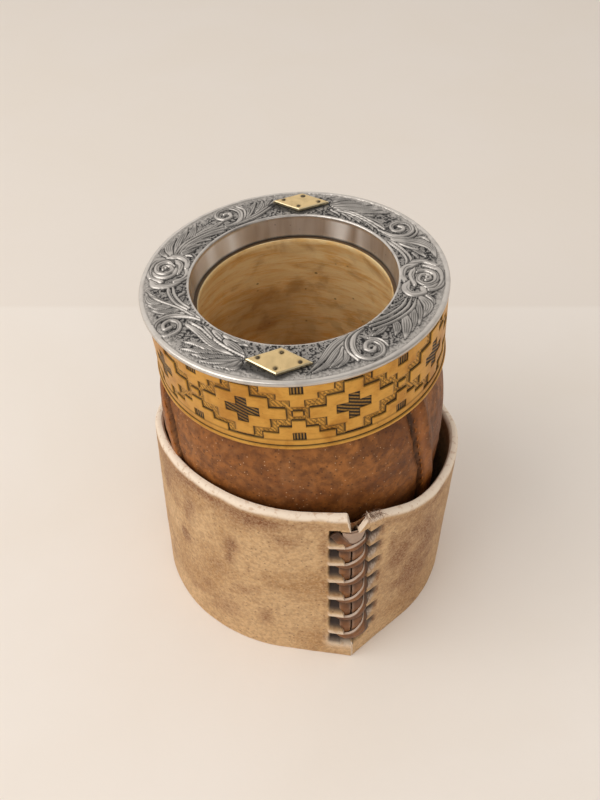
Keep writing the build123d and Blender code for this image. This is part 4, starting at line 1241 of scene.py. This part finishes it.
stains = ((207.0, 58.5, 2.6, 5.5, 0.8), (225.0, 60.0, 2.2, 4.0, 0.6), (222.0, 54.0, 1.8, 5.0, 0.55),
          (219.0, 40.5, 2.4, 3.6, 0.85),
          (243.0, 53.0, 2.4, 3.6, 0.6), (241.5, 46.0, 1.7, 5.5, 0.5), (251.0, 68.0, 11.0, 4.0, 0.55),
          (264.0, 62.0, 4.5, 2.8, 0.5),
          (255.0, 18.0, 2.4, 4.2, 0.5), (239.0, 16.0, 5.0, 6.0, 0.4), (229.0, 21.5, 2.2, 2.4, 0.45),
          (205.0, 14.5, 3.5, 4.5, 0.45),
          (305.0, 43.0, 3.2, 6.5, 0.6), (314.0, 47.0, 9.0, 8.0, 0.45), (316.0, 15.0, 3.6, 1.8, 0.6),
          (319.0, 3.0, 1.6, 1.8, 0.6),
          (302.0, 52.0, 1.2, 4.5, 0.5), (230.0, 72.0, 14.0, 2.2, 0.4), (190.0, 40.0, 5.0, 6.0, 0.5),
          (160.0, 55.0, 6.0, 5.0, 0.5),
          (135.0, 22.0, 7.0, 6.0, 0.5), (95.0, 48.0, 8.0, 5.0, 0.5), (60.0, 30.0, 5.0, 8.0, 0.5),
          (20.0, 55.0, 6.0, 5.0, 0.5),
          (345.0, 25.0, 6.0, 7.0, 0.4), (322.0, 34.0, 9.0, 18.0, 0.5), (310.0, 32.0, 11.0, 24.0, 0.32),
          (312.0, 24.0, 6.0, 5.0, 0.35), (236.0, 38.0, 3.0, 3.0, 0.4),
          (214.0, 66.0, 9.0, 4.0, 0.4), (247.0, 30.0, 4.0, 2.6, 0.35))
bearing = np.degrees(np.arctan2(places[..., 1] - sleeveMiddle[1], places[..., 0] - sleeveMiddle[0])) % 360.0
stainAndShade = np.zeros(S.shape)
for centre, height, wide, tall, depthOf in stains:
    off = (bearing - centre + 180.0) % 360.0 - 180.0
    blot = bell(off * 0.93, 0.0, wide) * bell(H, height, tall)
    stainAndShade = 1.0 - (1.0 - stainAndShade) * (1.0 - depthOf * blot)
ragged = np.clip(0.85 + 0.9 * roughNoise(places, 5.0, 59), 0.0, 1.6)
stainAndShade = np.clip(1.6 * stainAndShade * ragged, 0.0, 0.88)
underEdge = bell(topDrop, 4.4, 2.2) * ease(3.0, 12.0, np.abs(S)) * 0.4
stainAndShade = np.clip(stainAndShade + underEdge, 0, 1)
# painted shadow beside each scoop on the right, carried in the stain values
beside = bell(sideways, 4.7, 1.2) * bell(stepRight, 0.3, 0.3) * rightRun
stainAndShade = np.maximum(stainAndShade, 0.95 * beside)
# painted shadow at the left ends of the slots
slotEdgeShadow = bell(straightS, 9.6, 0.7) * ease(0.3, 0.1, np.abs(stepLeft - 0.3))
stainAndShade = np.maximum(stainAndShade, 0.5 * slotEdgeShadow * inRun * leftSide)
raw = ease(2.4, 0.7, topDrop + 0.5 * noise(places, 5.0, 61))
raw = np.maximum(raw, 0.65 * across * ease(0.74, 0.88, stepLeft) * inRun)
raw = np.maximum(raw, 0.6 * lastTab)
raw = np.maximum(raw, 0.9 * inNotch * (np.abs(S - end) < 0.25))
raw = np.maximum(raw, 0.9 * ease(9.5, 8.5, H) * (np.abs(S - end) < 0.2))
fur = np.clip(scoop * 2.2, 0, 1) * ease(0.05, 0.2, stepRight + 0.1 * sideways)
tuft = bell(S, 5.0, 2.6) * bell(H, 72.0, 2.2) * ~leftSide
fur = np.maximum(fur, 0.45 * tuft)
shadow = inner * 0.9
shadow = np.maximum(shadow, across * ease(0.84, 0.58, stepLeft) * inRun)
hollowTop = ease(6.0, 3.4, sideways + 1.4 * stepRight) * ease(-0.5, 0.0, sideways) * rightRun
hollowTop = hollowTop * ease(0.68, 0.46, stepRight + 0.03 * sideways) * ease(0.0, 0.06, stepRight)
shadow = np.maximum(shadow, 0.95 * hollowTop)
shadow = shadow * (1.0 - 0.9 * ease(9.0, 8.0, H))
sleeveHide = plateObject("sleeveHide", outerFace, innerFace, keep=~slotCell, material=rawhide, sharp=48.0,
                         values=dict(raw=raw, stainAndShade=stainAndShade, dark=shadow, fur=fur))
finishPiece(sleeveHide, "rawhide", "base_sleeve")
print("sleeve made")

# ---- lacing
# Upper straps, by stations from the left slot to the right one: across, height, share of the climb to
# the right slot, how far it stands out, and the width of its face below the pale upper cut edge.
thong = dict(thick=0.8, rows=70,
             stations=((-6.0, -0.9, 0.0, -3.4, 1.4), (-4.9, -0.45, 0.0, -2.1, 1.9),
                       (-3.6, -0.2, 0.0, -1.2, 2.3),
                       (-2.2, 0.05, 0.0, -0.6, 2.6), (-0.7, 0.5, 0.0, -0.2, 2.8),
                       (1.0, 1.05, 0.02, -0.25, 3.0),
                       (2.6, 1.0, 0.14, -0.8, 2.9), (3.75, 0.7, 0.36, -1.3, 2.3),
                       (4.3, 0.3, 0.68, -1.9, 1.5),
                       (4.6, 0.0, 0.95, -2.8, 1.0), (5.1, 0.0, 1.12, -4.6, 0.8)),
             faceShare=(1.0, 1.05, 1.0, 1.0, 1.05, 1.7), endBelow=(2.0, 0.8, 0.5, 0.5, 0.6, 1.4))
w = np.concatenate([[0.0, 0.05], np.linspace(0.14, 0.9, 9), [0.96, 1.0]])[:, None]
for k in range(sleeve["slots"] - 1):
    foot = leftSlotTop(k + 1)
    climb = rightSlotTop(k) - thong["endBelow"][k] - foot
    x, z, share, stand, tall = smoothThrough(thong["stations"], thong["rows"]).T
    z = foot + z + share * climb
    tall = tall * mix(1.0, thong["faceShare"][k], ease(-6.0, -2.5, x) * ease(3.8, 2.2, x))
    z = z + 0.1 * sheetNoise(x, 9.0 * k, 2.4, 81)
    dx, dz = np.gradient(x), np.gradient(z)
    size = np.hypot(dx, dz)
    X = x + dz / size * tall * w
    Z = z - dx / size * tall * w
    rise = stand - 0.55 * w + 0.35 * np.sin(np.pi * w)
    rise = rise + 0.1 * sheetNoise(X, 8.0 * w + 5.0 * k, 1.5, 83)
    bevel = 0.12 * bell(np.minimum(w, 1.0 - w) * tall, 0.0, 0.14)
    front = onLacing(X, rise - bevel, Z)
    back = onLacing(X, rise - thong["thick"] + bevel, Z)
    pale = bell(w * tall, 0.0, 0.2) * ease(-5.6, -4.4, X)
    seamShade = np.clip(0.85 * ease(0.8, 1.0, w) + 0.6 * ease(3.9, 4.8, X) + 0.5 * ease(-4.6, -5.8, X), 0.0,
                        1.0)
    piece = plateObject(f"laceOver{k + 1}", front, back, material=laceLeather, sharp=50.0,
                        values=dict(raw=pale, dark=seamShade))
    finishPiece(piece, "lace_leather", f"lace_over_{k + 1}")

# Lower straps: two rounded columns side by side behind the upper straps; the first on the left comes
# slanting out of the top slot.
strip = dict(left=(-1.95, 1.85), right=(2.05, 2.05), rows=22, thick=0.75, depth=-2.25)
t = np.linspace(0.0, 1.0, strip["rows"])
shut = np.where((t > 0.0) & (t < 1.0), 1.0, 1e-3)
for k in range(sleeve["slots"] - 1):
    sets = []
    for side, (middle, half) in ((-1, strip["left"]), (1, strip["right"])):
        top = leftSlotTop(k) + (-0.4 if k else -1.6)
        foot = leftSlotTop(k + 1) - 0.9
        x = middle + 0.1 * side * np.sin(np.pi * t)
        z = mix(top if k or side < 0 else 62.6, foot, t)
        rise = strip["depth"] + 0.4 * np.sin(np.pi * np.clip(t * 1.1, 0.0, 1.0)) ** 2
        if k == 0 and side < 0:
            x = mix(-5.4, -0.6, t)
            z = mix(66.6, foot, t)
            rise = mix(-2.9, -1.7, ease(0.0, 0.5, t))
            half = 1.6
        path = onLacing(x, rise, z)
        normal = np.broadcast_to(np.concatenate([seamOut + side * 0.3 * seamAcross, [0.15]]), path.shape)
        # painted shadow at the top of each lower strap, where it comes out from under the upper strap, and
        # darker again at its foot
        under = 0.75 * ease(0.45, 0.15, t) + 0.3 * ease(0.8, 1.0, t)
        sets.append((path, normal, half * shut, strip["thick"] * shut, under))
    piece = ribbonsObject(f"laceUnder{k + 1}", sets, laceLeather, power=0.8)
    finishPiece(piece, "lace_leather", f"lace_under_{k + 1}")

# The thong's rounded end, showing as a half disc above the first strap.
discEnd = dict(middle=0.7, wide=3.6, tall=5.8, top=67.2, stand=-0.95, thick=0.8)
u = np.linspace(0.0, 1.0, 14)
x = np.sin(np.linspace(-0.5, 0.5, 34) * math.pi)
X, U = np.meshgrid(x, u)
drop = np.sqrt(np.maximum(1.0 - X ** 2, 0.0)) * U
X = discEnd["middle"] + discEnd["wide"] * X
Z = discEnd["top"] - discEnd["tall"] * drop
stand = discEnd["stand"] - 0.08 * (X - discEnd["middle"]) ** 2 + 0.15 * sheetNoise(X, Z, 1.6, 87)
edge = ease(0.86, 1.0, U)
laceEnd = plateObject("laceEnd", onLacing(X, stand, Z), onLacing(X, stand - discEnd["thick"], Z),
                      material=laceLeather,
                      weld=0.002, values=dict(raw=0.5 - 0.5 * edge, dark=0.8 * edge))
finishPiece(laceEnd, "lace_leather", "lace_end")

# The thin tongue of hide behind the notch: a flat sheet, bowed back to its sides.
tongue = dict(left=-3.6, right=4.8, low=60.0, high=68.6, stand=-3.1, thick=0.6)
X, Z = np.meshgrid(np.linspace(tongue["left"], tongue["right"], 22),
                   np.linspace(tongue["low"], tongue["high"], 20))
Z = Z + 0.15 * sheetNoise(X, Z, 2.0, 89)
stand = tongue["stand"] - 0.05 * X ** 2 + 0.08 * sheetNoise(X, Z, 1.1, 88)
notchTongue = plateObject("notchTongue", onLacing(X, stand, Z), onLacing(X, stand - tongue["thick"], Z),
                          material=rawhide, sharp=50.0,
                          values=dict(raw=0 * X, stainAndShade=1.0 + 0 * X, dark=0.35 * ease(68.0, 66.0, Z),
                                      fur=0 * X))
notchTongue.data.flip_normals()
finishPiece(notchTongue, "rawhide")
print("lacing made")


# ---- brass diamonds and rivets
# A plate is a square grid turned into a diamond, rounded down at its border and dented at the rivets;
# a rivet's head is a quarter of an ellipse turned round.
# A frame lying on the sloping ring: origin, along it, away from its middle, and straight off it.
def ringPlace(polarRadius, degreesRound, turnDegrees, stand):
    outward = math.cos(math.radians(degreesRound)) * cupX + math.sin(math.radians(degreesRound)) * cupY
    level = mouthTop * (outer - polarRadius) / (outer - mouth)
    normal = unit(cupZ + outward * slope)
    along = unit(np.cross(cupZ, outward)) * (-1.0 if degreesRound > 0 else 1.0)
    beyond = np.cross(normal, along)
    c, s = math.cos(math.radians(turnDegrees)), math.sin(math.radians(turnDegrees))
    origin = cupO + outward * polarRadius + cupZ * level + normal * stand
    return origin, along * c + beyond * s, beyond * c - along * s, normal


for sideName in ("front", "back"):
    origin, e1, e2, e3 = ringPlace(plates["polar"], *plates[sideName], plates["gap"])
    g = np.linspace(-1.0, 1.0, plates["count"])
    g = np.sign(g) * (1.0 - (1.0 - np.abs(g)) ** 1.25)
    A, B = np.meshgrid(g, g)
    x, y = (A - B) / 2 * plates["length"] / 2, (A + B) / 2 * plates["width"] / 2
    rimGap = (1.0 - np.maximum(np.abs(A), np.abs(B))) * plates["width"] * 0.44
    flatness = plates["thick"] - 0.22 * ease(plates["bevel"], 0.0, rimGap)
    flatness = flatness + 0.05 * sheetNoise(x, y, 2.6, 71)
    nearRivet = [(x - rx) ** 2 + (y - ry) ** 2 for rx, ry in plates["rivets"]]
    flatness = flatness - 0.16 * sum(bell(gap, 0.0, 0.9 ** 2) for gap in nearRivet)
    face = origin + x[..., None] * e1 + y[..., None] * e2
    dark = sum(bell(gap, 0.0, 0.8 ** 2) for gap in nearRivet)
    # painted highlight: the bevelled border of each plate is painted paler
    bright = ease(plates["bevel"] * 1.3, 0.05, rimGap)
    plate = plateObject(f"diamond{sideName.capitalize()}", face + flatness[..., None] * e3, face,
                        material=plateBrass, sharp=40.0, values=dict(dark=0.8 * dark, bright=bright))
    finishPiece(plate, "brass", f"diamond_{sideName}")
    for number, (rx, ry) in enumerate(plates["rivets"], start=1):
        big = 1.5 if sideName == "back" and number == 2 else 1.0
        u = np.linspace(0.0, 1.0, 9)
        radius = plates["headRadius"] * big * np.sin(u * math.pi / 2)
        level = plates["thick"] - 0.12 + plates["headHeight"] / big * np.cos(u * math.pi / 2)
        radius = np.concatenate([radius, [radius[-1] * 0.7, 0.0]])
        level = np.concatenate([level, [plates["thick"] - 0.3, plates["thick"] - 0.3]])
        turn = np.linspace(0.0, 2.0 * math.pi, 20, endpoint=False)
        head = (origin + (rx + radius[:, None] * np.cos(turn))[..., None] * e1
                + (ry + radius[:, None] * np.sin(turn))[..., None] * e2 + level[:, None, None] * e3)
        rivet = gridObject(f"rivet{sideName.capitalize()}{number}", head, wrapColumns=True,
                           material=rivetBrass, weld=0.002)
        finishPiece(rivet, "brass_dark", f"rivet_{sideName}_{number}")
print("plates made")

# ---- hair left on the hide beside the notch
# Each hair is a thin ribbon: a straight way out of the edge, bent over by the square of its length.
tuftOf = dict(count=240, length=2.8, thick=0.06, seed=11)
draw = np.random.default_rng(tuftOf["seed"])
hairs = []
for n in range(tuftOf["count"]):
    rootX = 3.2 + 6.0 * draw.random() ** 1.2
    root = onSleeve(rootX, np.interp(rootX, *topRight.T) - 0.3 - 0.5 * draw.random(),
                    0.6 + 1.8 * draw.random())
    astray = draw.normal(0.0, 0.5, 3)
    size = tuftOf["length"] * (0.4 + 0.6 * draw.random())
    t = np.linspace(0.0, 1.0, 6)[:, None]
    way = unit(np.array([-0.25, -0.35, 0.75]) + astray)
    path = root + way * t * size + np.array([0.25, -0.3, -0.5]) * size * t ** 2
    thin = tuftOf["thick"] * (1.05 - t[:, 0])
    hairs.append((path, np.broadcast_to([0.3, -0.8, 0.5], path.shape), thin, thin))
edgeHair = ribbonsObject("edgeHair", hairs, laceLeather, power=1.0, rawShare=1.6)
finishPiece(edgeHair, "rawhide")
print("hair made")

# ---- floor, light and camera
stage = dict(edge=0.138, near=(240, 232, 223), beyond=(235, 226, 216), soft=0.002, lightOnCup=0.71,
             lightSeen=0.95)
floorMesh = bpy.data.meshes.new("floor")
floorMesh.from_pydata([(-4, -4, 0), (4, -4, 0), (4, 4, 0), (-4, 4, 0)], [], [(0, 1, 2, 3)])
floor = bpy.data.objects.new("floor", floorMesh)
bpy.context.scene.collection.objects.link(floor)
material, tree, shader, place = newMaterial("plasterFloor")
northward = node(tree, "ShaderNodeSeparateXYZ", {0: place}).outputs["Y"]
line = ramp(tree, northward, stage["edge"] - stage["soft"], stage["edge"] + stage["soft"])
colour = layered(tree, mixColour(tree, line, tone(*stage["near"]), tone(*stage["beyond"])),
                 (patches(tree, place, 9.0, 0.3, 0.75), 0.35, (232, 221, 206)))
feed(tree, shader, {"Base Color": colour, "Roughness": 0.9})
bumpInto(tree, shader, grainOf(tree, place, 220.0, 0.7), 0.25, 0.0008)
floorMesh.materials.append(material)

world = bpy.data.worlds.new("studio")
bpy.context.scene.world = world
world.use_nodes = True
tree = world.node_tree
tree.nodes.clear()
sky = node(tree, "ShaderNodeTexCoord")
parts = node(tree, "ShaderNodeSeparateXYZ", {0: sky.outputs["Generated"]}).outputs
side = ramp(tree, parts["X"], -1.0, 1.0, 0.25, -0.15, kind="LINEAR")
rear = ramp(tree, parts["Y"], -0.5, 0.75, 0.3, 0.95)
rays = node(tree, "ShaderNodeLightPath").outputs
shiny = most(tree, rays["Is Glossy Ray"], rays["Is Transmission Ray"])
lit = mixValue(tree, shiny, stage["lightOnCup"], math2(tree, "ADD", side, rear))
strength = mixValue(tree, rays["Is Camera Ray"], lit, stage["lightSeen"])
backdrop = node(tree, "ShaderNodeBackground", {"Color": tone(244, 240, 236), "Strength": strength})
node(tree, "ShaderNodeOutputWorld", {"Surface": backdrop.outputs[0]})


# A soft square lamp at a place, turned to the cup.
def areaLamp(name, place, size, power, colour):
    lamp = bpy.data.lights.new(name, "AREA")
    lamp.shape, lamp.size, lamp.energy, lamp.color = "SQUARE", size, power, colour
    holder = bpy.data.objects.new(name, lamp)
    holder.location = place
    aim = np.array([0.0, 0.0, 0.07]) - np.array(place)
    flatLength = math.hypot(aim[0], aim[1])
    holder.rotation_euler = (math.atan2(flatLength, -aim[2]), 0.0, math.atan2(-aim[0], aim[1]))
    bpy.context.scene.collection.objects.link(holder)


# Each lamp's place, size, power and colour.
lamps = dict(keyLamp=((-0.78, -0.32, 0.9), 1.05, 7.5, (1.0, 0.975, 0.95)),
             fillLamp=((0.3, -0.95, 0.75), 0.8, 1.4, (1.0, 0.985, 0.97)))
for name, lamp in lamps.items():
    areaLamp(name, *lamp)
view = dict(place=(-0.00189, -0.19624, 0.27322), tilt=44.48, lens=38.25, sensor=36.0)
camera = bpy.data.cameras.new("camera")
camera.lens, camera.sensor_width, camera.sensor_fit = view["lens"], view["sensor"], "AUTO"
camera.clip_start = 0.01
viewer = bpy.data.objects.new("camera", camera)
viewer.location = view["place"]
viewer.rotation_euler = (math.radians(view["tilt"]), 0.0, 0.0)
bpy.context.scene.collection.objects.link(viewer)
bpy.context.scene.camera = viewer
bpy.context.scene.view_settings.view_transform = "Standard"
print("stage made")
